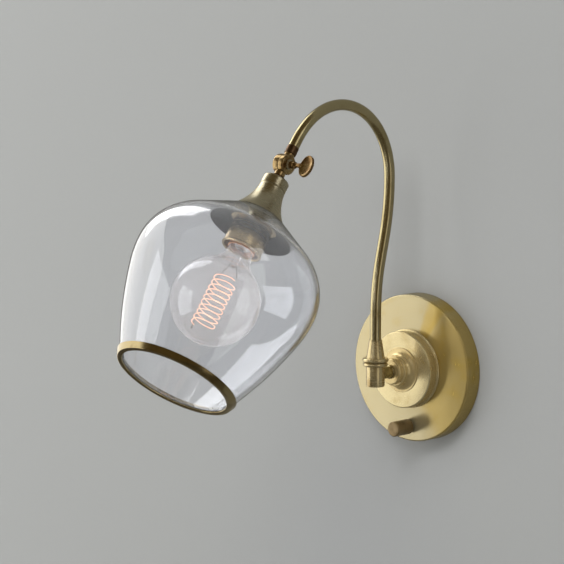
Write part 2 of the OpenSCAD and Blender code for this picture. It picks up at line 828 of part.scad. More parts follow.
// Solid form of the glass shade from where its shoulder has radius top, drawn in by inset
module glass_form(top, inset, end) {
  start = shoulder_at(top, inset);
  end_angle = asin((end - side_s) / (side_r - inset));
  polygon(concat(
    [[0, start], [top, start]],
    arc(glass_r - shoulder_r, glass_wide_at, shoulder_r - inset, -shoulder_angle, 0, 19),
    arc(glass_r - waist_r, glass_wide_at, waist_r - inset, waist_angle / 5, waist_angle, 4),
    arc(side_c, side_s, side_r - inset, waist_angle + 1.5, end_angle, 8),
    [[0, end]]));
}

// Solid form of the bell, drawn in by inset, which runs on into the glass that then cuts it
module bell_form(inset) {
  form_len = bell_len + 2 * bell_wall;
  translate([0, cap_end + inset]) difference() {
    square([bell_foot_r + 2 * bell_wall, form_len - inset]);
    translate([flare_r, flare_at - cap_end - inset]) circle(bell_flare_r + inset, $fn = fine);
  }
}
module bell() {
  color(brass) at_pivot() difference() {
    rotate_extrude($fn = 144) difference() {
      bell_form(0);
      bell_form(bell_wall);
      glass_form(neck_r, -seat_gap, glass_end);
    }
    translate([0, 0, cap_end - past]) cylinder(r = neck_r + seat_gap, h = bell_wall + 2 * past);
  }
}

module shade_glass() {
  color([0.85, 0.88, 0.9, 0.35]) at_pivot() difference() {
    rotate_extrude($fn = 180) difference() {
      glass_form(glass_hole_d / 2 - past, 0, glass_end);
      glass_form(neck_r, glass_t, glass_end + past);
      translate([-past, 0]) square([glass_hole_d / 2 + past, glass_wide_at]);
    }
  }
}

// A turned layer that follows the shoulder between two insets and two radii
module shoulder_layer(r1, r2, top, under) {
  rotate_extrude($fn = 144)
    polygon([[r1, shoulder_at(r1, top)], [r2, shoulder_at(r2, top)],
      [r2, shoulder_at(r2, under)], [r1, shoulder_at(r1, under)]]);
}
module glass_gasket() {
  color("#8d8f8c") at_pivot() shoulder_layer(seat_r, dish_r - 4, glass_t + seat_gap, dish_top - seat_gap);
}

module glass_plate() {
  rise = shoulder_at(seat_r, dish_top);
  color("#4a4a4d") at_pivot() difference() {
    rotate_extrude($fn = 144)
      polygon([[0, rise], [seat_r, rise], [dish_r, shoulder_at(dish_r, dish_top)],
        [dish_r, shoulder_at(dish_r, dish_under)], [seat_r, flat_at], [0, flat_at]]);
    translate([0, 0, rise - past]) cylinder(r = neck_r + seat_gap, h = flat_at - rise + 2 * past);
  }
}

module seat_washer() {
  color(brass) at_pivot() difference() {
    translate([0, 0, flat_at]) cylinder(r1 = seat_r, r2 = seat_r - 0.7, h = seat_t);
    translate([0, 0, flat_at - past]) cylinder(r = neck_r + seat_gap, h = seat_t + 2 * past);
  }
}

module lampholder_cup() {
  top_edge = 1.8;
  color(brass) at_pivot() difference() {
    rotate_extrude($fn = 144) {
      difference() {
        translate([0, cup_at]) union() {
          square([cup_r - top_edge, cup_len]);
          translate([0, top_edge]) square([cup_r, cup_len - top_edge]);
          translate([cup_r - top_edge, top_edge]) circle(top_edge);
        }
        translate([-past, cup_at + cup_wall]) square([cup_r + past - top_edge, cup_len]);
        translate([-past, cup_at + top_edge]) square([cup_r + past - cup_wall, cup_len]);
      }
      translate([cup_r + cup_lip / 2 - cup_wall / 2, cup_end - cup_lip]) circle(cup_lip);
      translate([0, cup_at]) square([neck_r + 2.4, boss_h]);
    }
    translate([0, 0, cup_at - past]) cylinder(r = neck_r + seat_gap, h = boss_h + 2 * past);
  }
}

module insulator() {
  hole_r = 1.6;
  color("#e9e6dc") at_pivot() difference() {
    translate([0, 0, floor_at]) cylinder(r = cup_r - cup_wall - face_gap, h = insulator_h);
    translate([0, 0, floor_at + floor_t])
      cylinder(r = shell_r + shell_t + seat_gap, h = insulator_h);
    for (s = [-1, 1]) translate([s * shell_r / 2, 0, floor_at - past])
      cylinder(r = hole_r, h = floor_t + 2 * past);
  }
}

module screw_shell() {
  color("#b8935a") at_pivot()
    ring(shell_r, shell_r + shell_t, floor_at + floor_t, floor_at + insulator_h + shell_out);
}

module centre_contact() {
  strip_w = 4;
  color(brass) at_pivot() translate([0, 0, floor_at + floor_t]) {
    translate([-1.5 * strip_w, -strip_w / 2, 0]) cube([2 * strip_w, strip_w, contact_t - 0.1]);
    cylinder(d = strip_w, h = contact_t);
  }
}

module bulb_cap() {
  depth = 0.5;
  lead_in = 1.5;
  plain_part = 6;
  turns = floor((bulb_cap_len - plain_part) / cap_pitch);
  color("#c9a45c") at_pivot() difference() {
    union() {
      ring(bulb_cap_r - cap_wall, bulb_cap_r - depth, bulb_cap_at, cap_front);
      for (i = [0 : turns - 1])
        bead(bulb_cap_r - 2 * cap_wall, bulb_cap_r, bulb_cap_at + lead_in + i * cap_pitch,
          bulb_cap_at + lead_in + (i + 0.55) * cap_pitch);
    }
    translate([0, 0, bulb_cap_at - past])
      cylinder(r = bulb_cap_r - cap_wall, h = bulb_cap_len + 2 * past);
  }
}

module bulb_insulator() {
  back_r = 4.6;
  tip_r = 2.6;
  tip_h = 1;
  plug_h = 2;
  color("#1c1c20") at_pivot() {
    translate([0, 0, bulb_tip_at]) cylinder(r1 = tip_r, r2 = back_r, h = tip_h);
    translate([0, 0, bulb_tip_at + tip_h]) cylinder(r1 = back_r, r2 = bulb_neck_r, h = bulb_tip_len - tip_h);
    translate([0, 0, bulb_cap_at - eps]) cylinder(r = bulb_neck_r, h = plug_h);
  }
}

// Solid form of the bulb's glass, drawn in by inset
module bulb_form(inset) {
  start = bulb_cap_at + neck_in + inset;
  polygon(concat(
    [[0, start], [bulb_neck_r - inset, start]],
    arc(bulb_neck_r + neck_fillet, cap_front, neck_fillet + inset, 180, 180 - fillet_turn, 12),
    arc(0, globe_at, globe_r - inset, 3 - fillet_turn, 87, 44),
    [[0, globe_at + globe_r - inset]]));
}
module bulb_glass() {
  color([0.9, 0.9, 0.88, 0.3]) at_pivot() rotate_extrude($fn = 180) difference() {
    bulb_form(0);
    bulb_form(globe_t);
  }
}

module bulb_stem() {
  flare_h = 6;
  mount_r = mount_d / 2;
  color([0.85, 0.87, 0.88, 0.5]) at_pivot() difference() {
    union() {
      translate([0, 0, mount_at - flare_h])
        cylinder(r1 = bulb_neck_r - globe_t, r2 = mount_r, h = flare_h);
      translate([0, 0, mount_at - eps]) cylinder(r = mount_r, h = mount_len - mount_r + eps);
      translate([0, 0, mount_end - mount_r]) sphere(mount_r * 1.01);
    }
    upper_wire(support_r + seat_gap);
    lower_wire(support_r + seat_gap);
  }
}

// A straight wire between two points, with a round joint at its end
module wire(p, q, r) {
  v = q - p;
  len = norm(v);
  translate(p) rotate([0, acos(v[2] / len), atan2(v[1], v[0])]) cylinder(r = r, h = len, $fn = 24);
}
module wire_joint(p, r) {
  translate(p) sphere(1.3 * r, $fn = 24);
}
// The wires leave the stem and meet the straight ends of the filament end to end
module upper_wire(r) {
  knee = [filament_r, 0, filament_at - end_len - 1.5];
  wire([support_side, 0, support_root], knee, r);
  wire_joint(knee, r);
  wire(knee, [filament_r, 0, filament_at - end_len], r);
}
module lower_wire(r) {
  knee = [-support_out, 0, filament_at];
  foot_z = filament_at + filament_len + end_len + 1.5;
  wire([-support_side, 0, support_root], knee, r);
  wire_joint(knee, r);
  wire(knee, [-support_out, 0, foot_z], r);
  wire_joint([-support_out, 0, foot_z], r);
  wire([-support_out, 0, foot_z], [-filament_r, 0, foot_z], r);
  wire_joint([-filament_r, 0, foot_z], r);
  wire([-filament_r, 0, foot_z], [-filament_r, 0, foot_z - 1.5], r);
}
module support_upper() {
  color("#55504a") at_pivot() upper_wire(support_r);
}
module support_lower() {
  color("#55504a") at_pivot() lower_wire(support_r);
}

// The filament is one tube wound along a helix, with straight ends
function helix_point(i) = let (a = i * 360 / filament_steps)
  [filament_r * cos(a), filament_r * sin(a), filament_at + filament_pitch * i / filament_steps];
module filament() {
  r = filament_wire / 2;
  sides = 6;
  count = filament_turns * filament_steps;
  first = helix_point(0);
  last = helix_point(count);
  path = concat(
    [first - [0, 0, end_len], first - [0, 0, end_len / 3]],
    [for (i = [0 : count]) helix_point(i)],
    [last + [0, 0, end_len / 3], last + [0, 0, end_len]]);
  n = len(path);
  function way(k) = let (v = path[min(k + 1, n - 1)] - path[max(k - 1, 0)]) v / norm(v);
  points = [for (k = [0 : n - 1]) let (
      t = way(k),
      out = [path[k][0], path[k][1], 0] / filament_r,
      u = cross(t, out) / norm(cross(t, out)),
      v = cross(t, u))
    for (j = [0 : sides - 1]) path[k] + r * (u * cos(j * 60) + v * sin(j * 60))];
  faces = concat(
    [[for (j = [sides - 1 : -1 : 0]) j]],
    [for (k = [0 : n - 2], j = [0 : sides - 1]) let (a = k * sides + j, b = k * sides + (j + 1) % sides)
      [a, b, b + sides]],
    [for (k = [0 : n - 2], j = [0 : sides - 1]) let (a = k * sides + j, b = k * sides + (j + 1) % sides)
      [a, b + sides, a + sides]],
    [[for (j = [0 : sides - 1]) (n - 1) * sides + j]]);
  gap = min([for (i = [0 : filament_steps]) norm(helix_point(i) - helix_point(i + filament_steps))])
    - filament_wire;
  echo(filament_gap = gap);
  color("#ffc89a") at_pivot() polyhedron(points, faces);
}

module mouth_band() {
  rear = mouth_at - band_h;
  rear_r = side_radius(rear, 0) + band_t;
  front_r = side_radius(mouth_at, 0) + band_t;
  color(brass) at_pivot() rotate_extrude($fn = 180) difference() {
    polygon([[front_r - lip_w, rear], [rear_r, rear], [front_r, mouth_at], [front_r - lip_w, mouth_at]]);
    glass_form(neck_r, -seat_gap, glass_end);
  }
}

// Switch
module switch_body() {
  color("#26262a") from_wall() difference() {
    translate([0, -knob_drop, switch_back]) union() {
      translate([-switch_w / 2, -switch_w / 2, 0]) cube([switch_w, switch_w, switch_t]);
      cylinder(d = bush_d, h = bush_end - switch_back);
    }
    translate([0, -knob_drop, switch_back + shaft_floor])
      cylinder(r = shaft_d / 2 + run_gap, h = bush_end);
  }
}

module switch_nut() {
  color(steel) from_wall() translate([0, -knob_drop, face_at(knob_drop - bush_d * 0.75)]) difference() {
    cylinder(d = bush_d * 1.5, h = bush_nut_t);
    translate([0, 0, -past]) cylinder(r = bush_d / 2 + seat_gap, h = bush_nut_t + 2 * past);
  }
}

module switch_lead() {
  core_r = lead_d / 4;
  lead_len = knob_drop - switch_w / 2 - nut_af / 2 - 2;
  color("#2b2b2b") from_wall() translate([0, -knob_drop + switch_w / 2, switch_back + switch_t / 2])
    rotate([-90, 0, 0]) linear_extrude(lead_len) {
      for (s = [-1, 1]) translate([s * core_r * 0.9, 0]) circle(core_r, $fn = 32);
      square([core_r, core_r], center = true);
    }
}

module switch_shaft() {
  start = switch_back + shaft_floor + face_gap;
  color(steel) from_wall() translate([0, -knob_drop, start])
    cylinder(d = shaft_d, h = knob_at + knob_bore_len - start);
}

module knob() {
  edge = 0.8;
  foot_edge = 1;
  counterbore = 0.8;
  r = knob_d / 2;
  color(bronze) from_wall() translate([0, -knob_drop, knob_at]) difference() {
    union() {
      cylinder(r1 = r - 0.4 * foot_edge, r2 = r, h = foot_edge);
      translate([0, 0, foot_edge]) cylinder(r = r, h = knob_len - foot_edge - edge);
      translate([0, 0, knob_len - edge]) cylinder(r1 = r, r2 = r - edge, h = edge);
    }
    translate([0, 0, -past]) cylinder(r = shaft_d / 2 + seat_gap, h = knob_bore_len + past);
    translate([0, 0, -past]) cylinder(r = bush_d * 0.75 + face_gap + 0.1, h = counterbore + past);
  }
}

mounting_bar();
earth_screw();
bar_nut();
centre_nipple();
plate_nut();
wall_plate();
hub_disc();
hub();
stub();
post();
post_plug();
post_ring();
wall_lead();
switch_body();
switch_nut();
switch_lead();
switch_shaft();
knob();
swivel_stem();
snap_ring();
ferrule();
arm_tube();
arm_lead();
tip_collar();
knuckle_upper();
key_washer();
thumb_key();
knuckle_lower();
neck_collar_ring();
holder_cap();
shade_nipple();
shade_lead();
bell();
shade_glass();
glass_gasket();
glass_plate();
seat_washer();
lampholder_cup();
insulator();
screw_shell();
centre_contact();
bulb_cap();
bulb_insulator();
bulb_glass();
bulb_stem();
support_upper();
support_lower();
filament();
mouth_band();
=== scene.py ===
# %% [markdown]
# # A gooseneck wall light
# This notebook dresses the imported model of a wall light. The model comes in as a fixed
# frame: every CAD piece stands where it was made, and each new piece is drawn over it.
# Loading comes first, so that every later step can ask the frame where a piece is.

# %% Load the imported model
import json
import math
import bpy
from mathutils import Matrix, Vector


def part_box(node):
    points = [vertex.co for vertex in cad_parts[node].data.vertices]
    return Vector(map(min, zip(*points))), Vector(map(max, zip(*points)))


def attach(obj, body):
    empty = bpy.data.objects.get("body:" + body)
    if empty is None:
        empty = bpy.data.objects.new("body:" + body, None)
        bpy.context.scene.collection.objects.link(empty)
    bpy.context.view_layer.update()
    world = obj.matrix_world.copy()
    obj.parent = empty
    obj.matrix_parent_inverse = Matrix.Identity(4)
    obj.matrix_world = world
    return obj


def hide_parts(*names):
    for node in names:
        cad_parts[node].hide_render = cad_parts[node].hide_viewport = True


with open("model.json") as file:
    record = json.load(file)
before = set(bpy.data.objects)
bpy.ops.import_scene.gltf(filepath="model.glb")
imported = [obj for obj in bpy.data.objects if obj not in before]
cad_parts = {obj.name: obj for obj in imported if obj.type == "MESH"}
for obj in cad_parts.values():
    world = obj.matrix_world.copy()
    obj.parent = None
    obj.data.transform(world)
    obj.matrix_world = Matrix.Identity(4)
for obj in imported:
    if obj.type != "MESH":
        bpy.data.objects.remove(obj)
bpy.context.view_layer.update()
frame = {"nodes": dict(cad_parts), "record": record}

# %% [markdown]
# ## The camera
# A product photograph of a small light is taken from a few metres away with a long lens,
# so that the far side of the shade isn't squeezed. The place and turn here were worked
# out from the outlines of the wall plate, the tube and the shade.

# %% Camera
lens = bpy.data.cameras.new("camera")
lens.sensor_width = 36
lens.lens = 255.38
camera = bpy.data.objects.new("camera", lens)
camera.location = (2.350193, -2.786537, 0.588490)
camera.rotation_euler = (math.pi / 2 - 0.139203, 0, 0.736238)
bpy.context.collection.objects.link(camera)
bpy.context.scene.camera = camera
print("camera distance", round(camera.location.length, 3), "m")

# %% [markdown]
# ## Where the axes lie
# Almost every piece is round, and the light has only five axes: the plate's, the post's,
# the shade's, the pin of the knuckle and the knob's. Each outline below is drawn in
# millimetres about the z axis, and one of these matrices brings it to its place in metres.

# %% Axes
MM = Matrix.Scale(0.001, 4)
TILT = 38.8
post_reach = 66.4
pivot_reach, pivot_height = 189.667, 202.364
knob_drop = 54.0

QUARTER = math.pi / 2
WALL = MM @ Matrix.Rotation(QUARTER, 4, "X")
POST = MM @ Matrix.Translation((0, -post_reach, 0))
SHADE_TURN = math.radians(180 - TILT)
PIVOT = MM @ Matrix.Translation((0, -pivot_reach, pivot_height)) @ Matrix.Rotation(SHADE_TURN, 4, "X")
PIN = PIVOT @ Matrix.Rotation(QUARTER, 4, "Y")
KNOB = WALL @ Matrix.Translation((0, -knob_drop, 0))
print("the knuckle's pin is", round(pivot_reach), "mm from the wall")

# %% [markdown]
# ## Drawing a turned piece
# Nearly every piece of this light comes off a lathe or a spinning chuck. One way to make
# such a piece is to stack cylinders and cones, but their joints never shade as one
# surface. Here one vertex is extruded along the piece's outline, and the outline is spun
# about the axis. Sharp corners are eased first, as a polishing wheel leaves them.

# %% Lathe helpers


def start_fresh():
    """Leave edit mode and deselect all, so that an operator touches only the new piece."""
    if bpy.context.mode != "OBJECT":
        bpy.ops.object.mode_set(mode="OBJECT")
    bpy.ops.object.select_all(action="DESELECT")


def bow(centre, radius, start, end, steps):
    """Points along an arc of an outline, with angles in degrees."""
    turns = [math.radians(start + (end - start) * i / steps) for i in range(steps + 1)]
    return [(centre[0] + radius * math.cos(a), centre[1] + radius * math.sin(a)) for a in turns]


def eased(outline, by=0.25, steps=3, blunt=152):
    """The outline with each corner sharper than blunt degrees broken by a small curve."""
    points = [Vector(p) for p in outline]
    done = [points[0]]
    for before, here, after in zip(points, points[1:], points[2:]):
        back, ahead = before - here, after - here
        if back.length < 1e-6 or ahead.length < 1e-6:
            continue
        if back.angle(ahead) > math.radians(blunt):
            done.append(here)
            continue
        cut = min(by, 0.45 * back.length, 0.45 * ahead.length)
        a, b = here + back.normalized() * cut, here + ahead.normalized() * cut
        for i in range(steps + 1):
            t = i / steps
            done.append(a * (1 - t) ** 2 + here * 2 * t * (1 - t) + b * t ** 2)
    done.append(points[-1])
    return done


def finish_mesh(piece, place, crease=35):
    """Merge doubles, turn faces outward, bring the piece to its place and smooth it."""
    bpy.ops.object.mode_set(mode="EDIT")
    bpy.ops.mesh.select_all(action="SELECT")
    bpy.ops.mesh.remove_doubles(threshold=0.001)
    bpy.ops.mesh.normals_make_consistent(inside=False)
    bpy.ops.object.mode_set(mode="OBJECT")
    piece.matrix_world = place
    bpy.ops.object.transform_apply(location=True, rotation=True, scale=True)
    bpy.ops.object.shade_smooth_by_angle(angle=math.radians(crease))
    return piece


def push(way):
    """Extrude what is selected by a step given as (x, y, z)."""
    bpy.ops.mesh.extrude_region_move(TRANSFORM_OT_translate={"value": way})


def turned(name, outline, place, steps=96, crease=35):
    """Spin an outline of (radius, height) points about the local z axis."""
    start_fresh()
    bpy.ops.mesh.primitive_plane_add(size=0.01)
    piece = bpy.context.object
    piece.name = name
    bpy.ops.object.mode_set(mode="EDIT")
    bpy.ops.mesh.select_mode(type="VERT")
    bpy.ops.mesh.select_all(action="SELECT")
    bpy.ops.mesh.merge(type="CENTER")
    bpy.ops.transform.translate(value=(outline[0][0], 0, outline[0][1]))
    for here, there in zip(outline, outline[1:]):
        push((there[0] - here[0], 0, there[1] - here[1]))
    bpy.ops.mesh.select_all(action="SELECT")
    bpy.ops.mesh.spin(steps=steps, angle=2 * math.pi, center=(0, 0, 0), axis=(0, 0, 1))
    return finish_mesh(piece, place, crease)


def join(whole, part):
    """Make the part a portion of the whole's mesh."""
    start_fresh()
    part.select_set(True)
    whole.select_set(True)
    bpy.context.view_layer.objects.active = whole
    bpy.ops.object.join()
    return whole


# %% [markdown]
# ## Which body carries a piece
# The light moves: the arm swivels, the shade tilts, the key and the knob turn. Each new
# piece rides on the body of the CAD piece that it stands for, and takes its finish from
# the same slot.

# %% Seat a piece on the frame
bodies = frame["record"]["behaviour"]["bodies"]
body_of_node = {node: body for body, nodes in bodies.items() for node in nodes}
dressed = {}


def seat(piece, node):
    """The piece stands for the node and rides on its body, and coat later gives it the node's finish."""
    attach(piece, body_of_node[node])
    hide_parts(node)
    dressed[node] = piece
    low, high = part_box(node)
    spans = [round(1000 * (b - a), 1) for a, b in zip(low, high)]
    print(node, "spans", spans, "mm,", len(piece.data.polygons), "faces")


# %% [markdown]
# ## The wall plate, its disc and the hub
# The plate is spun from sheet, so it has a soft rim and a slightly crowned face. The disc
# that stands on it has a rolled bead at its foot, and the hub flares down to it in a
# hollow quarter round. All three share the wall's axis, so all are turned outlines, and
# the threaded nipple in the middle gives all three the same hole.

# %% Wall plate
nipple_hole = 5.05
plate_r, plate_sheet, rim_round, rim_height = 68.0, 1.2, 1.5, 15.5
crown_radius, crown_middle = 922.5, -903.1


def face_height(radius, inset=0.0):
    """Height of the plate's crowned face at a radius."""
    return crown_middle + math.sqrt((crown_radius - inset) ** 2 - radius ** 2)


rim_inside = plate_r - plate_sheet
face = [(r, face_height(r)) for r in (plate_r - rim_round, 60, 52, 44, 38, 32, 24, 14, nipple_hole)]
back = [(r, face_height(r, plate_sheet)) for r in (nipple_hole, 14, 24, 38, 52, 65)]
plate_outline = [(rim_inside, 0), (plate_r, 0)]
plate_outline += bow((plate_r - rim_round, rim_height), rim_round, 0, 82, 6) + face + back
plate_outline += [(rim_inside - 0.4, rim_height + 0.1), (rim_inside, rim_height - 0.5), (rim_inside, 0)]
seat(turned("wall_plate_spun", plate_outline, WALL, 180), "wall_plate")

# %% Disc with its rolled foot
disc_r, disc_inner, disc_sheet = 35.2, 33.5, 1.2
disc_foot, disc_face = 18.79, 31.19
foot_bead, front_round, groove_r = 1.1, 1.0, 34.8
disc_outline = [(disc_inner, disc_foot)]
disc_outline += bow((disc_r + 0.1, disc_foot + foot_bead), foot_bead, -90, 90, 8)
disc_outline += [(disc_r, 21.0), (disc_r, 21.5), (groove_r, 21.6), (groove_r, 22.1), (disc_r, 22.2)]
disc_outline += bow((disc_r - front_round, disc_face - front_round), front_round, 0, 90, 5)
disc_outline += [(nipple_hole, disc_face), (nipple_hole, disc_face - disc_sheet)]
disc_outline += [(disc_inner, disc_face - disc_sheet), (disc_inner, disc_foot)]
seat(turned("hub_disc_turned", eased(disc_outline, 0.12), WALL, 144), "hub_disc")

# %% Hub
hub_base_r, hub_front_r, hub_length = 20.5, 12.0, 15.2
base_edge, flare_r, hub_bead = 0.8, 7.0, 1.2
hub_front = disc_face + hub_length
flare_top = disc_face + base_edge + flare_r
hub_outline = [(nipple_hole, disc_face), (hub_base_r, disc_face), (hub_base_r, disc_face + base_edge)]
hub_outline += bow((hub_front_r + 0.6 + flare_r, flare_top), flare_r, -90, -180, 14)
hub_outline += bow((hub_front_r + 1.0, flare_top + hub_bead), hub_bead, -90, 90, 8)
hub_outline += [(hub_front_r, flare_top + 2 * hub_bead), (hub_front_r, hub_front - 1.0)]
hub_outline += [(hub_front_r - 0.8, hub_front), (nipple_hole + 0.4, hub_front), (nipple_hole, disc_face)]
seat(turned("hub_turned", eased(hub_outline, 0.3), WALL, 120), "hub")

# %% [markdown]
# ## The stub, the post and the swivel
# A short tube runs from the hub to a small upright post. The arm turns on the post: a
# beaded ring stays with the post, and the beaded foot of the ferrule turns on it.

# %% Stub
stub_bore, stub_r, collar_r = 3.4, 5.4, 6.3
stub_low, stub_high, collar_low, collar_high = 42.4, 60.6, 46.4, 47.7
stub_outline = [(stub_bore, stub_low), (stub_r, stub_low), (stub_r, collar_low), (collar_r, collar_low)]
stub_outline += [(collar_r, collar_high), (stub_r, collar_high + 0.2), (stub_r, stub_high)]
stub_outline += [(stub_bore, stub_high), (stub_bore, stub_low)]
seat(turned("stub_turned", eased(stub_outline, 0.3), WALL, 64), "stub")

# %% Post, its plug and its ring
post_r, post_bore, stem_hole = 8.4, 6.8, 5.0
post_low, post_web, post_top = -10.4, 5.0, 7.6
post_outline = [(post_bore, post_low), (post_r, post_low), (post_r, post_top), (stem_hole, post_top)]
post_outline += [(stem_hole, post_web), (post_bore, post_web), (post_bore, post_low)]
seat(turned("post_turned", eased(post_outline, 0.35), POST, 80), "post")

plug_r, plug_lip, plug_top = 7.9, 0.5, -8.0
plug_outline = [(0, post_low - plug_lip), (plug_r, post_low - plug_lip), (plug_r, post_low)]
plug_outline += [(post_bore - 0.05, post_low), (post_bore - 0.05, plug_top), (0, plug_top)]
seat(turned("post_plug_turned", eased(plug_outline, 0.25), POST, 64), "post_plug")

ring_bead, ring_r = 1.9, 9.4
ring_top = post_top + 2 * ring_bead
ring_outline = [(stem_hole, post_top)] + bow((ring_r, post_top + ring_bead), ring_bead, -90, 90, 10)
ring_outline += [(stem_hole, ring_top), (stem_hole, post_top)]
seat(turned("post_ring_turned", ring_outline, POST, 80), "post_ring")

# %% Ferrule
ferrule_low, ferrule_high = ring_top + 0.3, 31.9
ferrule_bead, ferrule_r, ferrule_bore, tube_foot = 1.9, 10.1, 5.05, 21.9
cone_low, cone_high = (8.2, 16.4), (5.9, 31.1)
ferrule_outline = [(stem_hole, ferrule_low)]
ferrule_outline += bow((ferrule_r, ferrule_low + ferrule_bead), ferrule_bead, -90, 90, 10)
ferrule_outline += [(8.8, 15.5), (8.8, 16.3), cone_low, cone_high, (5.95, 31.2), (5.95, ferrule_high)]
ferrule_outline += [(ferrule_bore, ferrule_high), (ferrule_bore, tube_foot)]
ferrule_outline += [(stem_hole, tube_foot - 0.1), (stem_hole, ferrule_low)]
seat(turned("ferrule_turned", eased(ferrule_outline, 0.25), POST, 80), "ferrule")

# %% [markdown]
# ## The gooseneck
# The arm is one tube, bent cold round three formers: it leans towards the wall, comes
# upright again and then loops over. A curve with a bevel could stand for it, but a
# bender's own way is simpler to read: a ring of vertices is pushed along each straight
# and spun about the middle of each former.

# %% Bent tube
tube_r = 4.98
first_straight, middle_straight, last_straight = 34.6, 21.3, 8.9
lean, tip_turn = math.radians(14.5), math.radians(TILT)
lean_middle = (0, 123.6, 56.5)
back_middle = (0, -268.007, 179.778)
loop_middle = (0, -118.007, 179.778)

start_fresh()
bpy.ops.mesh.primitive_circle_add(vertices=40, radius=tube_r, location=(0, -post_reach, tube_foot))
tube = bpy.context.object
tube.name = "arm_tube_bent"
bpy.ops.object.transform_apply(location=True, rotation=True, scale=True)
bpy.ops.object.mode_set(mode="EDIT")
bpy.ops.mesh.select_all(action="SELECT")
push((0, 0, first_straight))
bpy.ops.mesh.spin(steps=14, angle=lean, center=lean_middle, axis=(1, 0, 0))
push((0, middle_straight * math.sin(lean), middle_straight * math.cos(lean)))
bpy.ops.mesh.spin(steps=16, angle=-lean, center=back_middle, axis=(1, 0, 0))
bpy.ops.mesh.spin(steps=72, angle=-SHADE_TURN, center=loop_middle, axis=(1, 0, 0))
push((0, -last_straight * math.sin(tip_turn), -last_straight * math.cos(tip_turn)))
bpy.ops.mesh.select_all(action="SELECT")
bpy.ops.mesh.fill_holes(sides=0)
seat(finish_mesh(tube, MM), "arm_tube")

# %% [markdown]
# ## Knurled collars
# Two short collars, one on the tube's tip and one on the shade's neck, are knurled so
# that fingers can grip them. The knurl is a star-shaped ring: every other pair of its
# vertices is drawn in, and the ring is extruded to the collar's length.

# %% Knurl helper and the collars
knurl_ridges, knurl_depth, knurl_chamfer = 26, 0.35, 0.5


def close_end(lift, shrink):
    """Chamfers the selected end ring and draws it in to a small hole, which is filled later."""
    for rise, size in ((lift, shrink), (0, 0.6)):
        push((0, 0, rise))
        bpy.ops.transform.resize(value=(size, size, 1))


def knurled(name, radius, low, high, place):
    """A collar with straight knurls round it."""
    start_fresh()
    start = low + knurl_chamfer
    bpy.ops.mesh.primitive_circle_add(vertices=4 * knurl_ridges, radius=radius, location=(0, 0, start))
    piece = bpy.context.object
    piece.name = name
    bpy.ops.object.transform_apply(location=True, rotation=True, scale=True)
    for i, corner in enumerate(piece.data.vertices):
        corner.select = i % 4 < 2
    bpy.ops.object.mode_set(mode="EDIT")
    bpy.ops.mesh.select_mode(type="VERT")
    valley, end = 1 - knurl_depth / radius, 1 - 1.1 * knurl_depth / radius
    bpy.ops.transform.resize(value=(valley, valley, 1))
    bpy.ops.mesh.select_all(action="SELECT")
    push((0, 0, high - low - 2 * knurl_chamfer))
    close_end(knurl_chamfer, end)
    bpy.ops.object.mode_set(mode="OBJECT")
    for corner in piece.data.vertices:
        corner.select = abs(corner.co.z - start) < 1e-4
    for edge in piece.data.edges:
        edge.select = all(piece.data.vertices[v].select for v in edge.vertices)
    bpy.ops.object.mode_set(mode="EDIT")
    close_end(-knurl_chamfer, end)
    bpy.ops.mesh.select_all(action="SELECT")
    bpy.ops.mesh.fill_holes(sides=0)
    return finish_mesh(piece, place, 20)


neck_r, tip_from, tip_to, ring_from, ring_to = 4.8, -18.4, -10.4, 12.8, 16.0
seat(knurled("tip_collar_knurled", neck_r + 1.0, tip_from, tip_to, PIVOT), "tip_collar")
seat(knurled("neck_collar_knurled", neck_r + 1.5, ring_from, ring_to, PIVOT), "neck_collar_ring")

# %% [markdown]
# ## The tilting knuckle
# The knuckle is a drum split across its axis. The half on the key's side belongs to the
# arm and the other half to the shade, and the key's shaft clamps them. Each half is a
# thick turned disc with a rounded rim, joined to a short neck.

# %% Drum halves
pin_hole, drum_r, drum_round, split = 2.6, 9.2, 1.6, 0.15


def drum_half(name, node, outer, neck_low, neck_high):
    """One half of the drum and the neck that carries it, joined to one piece."""
    side = 1 if outer > 0 else -1
    inner = side * split
    outline = [(pin_hole, inner), (drum_r, inner)]
    outline += bow((drum_r - drum_round, outer - side * drum_round), drum_round, 0, 90 * side, 7)
    outline += [(pin_hole, outer), (pin_hole, inner)]
    half = turned(name, eased(outline, 0.15), PIN, 80)
    neck_outline = [(0, neck_low), (neck_r, neck_low), (neck_r, neck_high), (0, neck_high)]
    neck = turned(name + "_neck", eased(neck_outline, 0.2), PIVOT, 64)
    seat(join(half, neck), node)


key_side, shade_side = 5.5, -7.0
drum_half("knuckle_upper_turned", "knuckle_upper", key_side, -11.0, -7.5)
drum_half("knuckle_lower_turned", "knuckle_lower", shade_side, 7.5, 13.2)

# %% Washer under the key
washer_r, washer_step_r, washer_step, washer_top = 4.7, 3.9, 6.7, 7.5
washer_outline = [(pin_hole, key_side), (washer_r, key_side), (washer_r, washer_step)]
washer_outline += [(washer_step_r, washer_step + 0.1), (washer_step_r, washer_top)]
washer_outline += [(pin_hole, washer_top), (pin_hole, key_side)]
seat(turned("key_washer_turned", eased(washer_outline, 0.2), PIN, 64), "key_washer")

# %% [markdown]
# ## The thumb key
# The key has a turned shank with a flange and a ball, and an oval paddle that is dished
# on both faces for the finger and thumb. The paddle starts as a disc, is stretched to an
# oval and thickened, and then each face is inset and pressed in.

# %% Key shank
shaft_r, shaft_end, flange_r, flange_low, flange_high = 2.5, 3.0, 3.8, 7.6, 9.0
ball_r, ball_at = 3.3, 11.3
key_outline = [(0, shaft_end), (shaft_r, shaft_end), (shaft_r, flange_low), (flange_r, flange_low)]
key_outline += [(flange_r, flange_high)] + bow((0, ball_at), ball_r, -42, 42, 8)
key_outline += [(2.1, 13.9), (1.9, 15.0), (2.2, 17.0), (2.5, 19.4), (2.1, 20.9), (0, 21.0)]
shank = turned("thumb_key_turned", eased(key_outline, 0.15), PIN, 64)

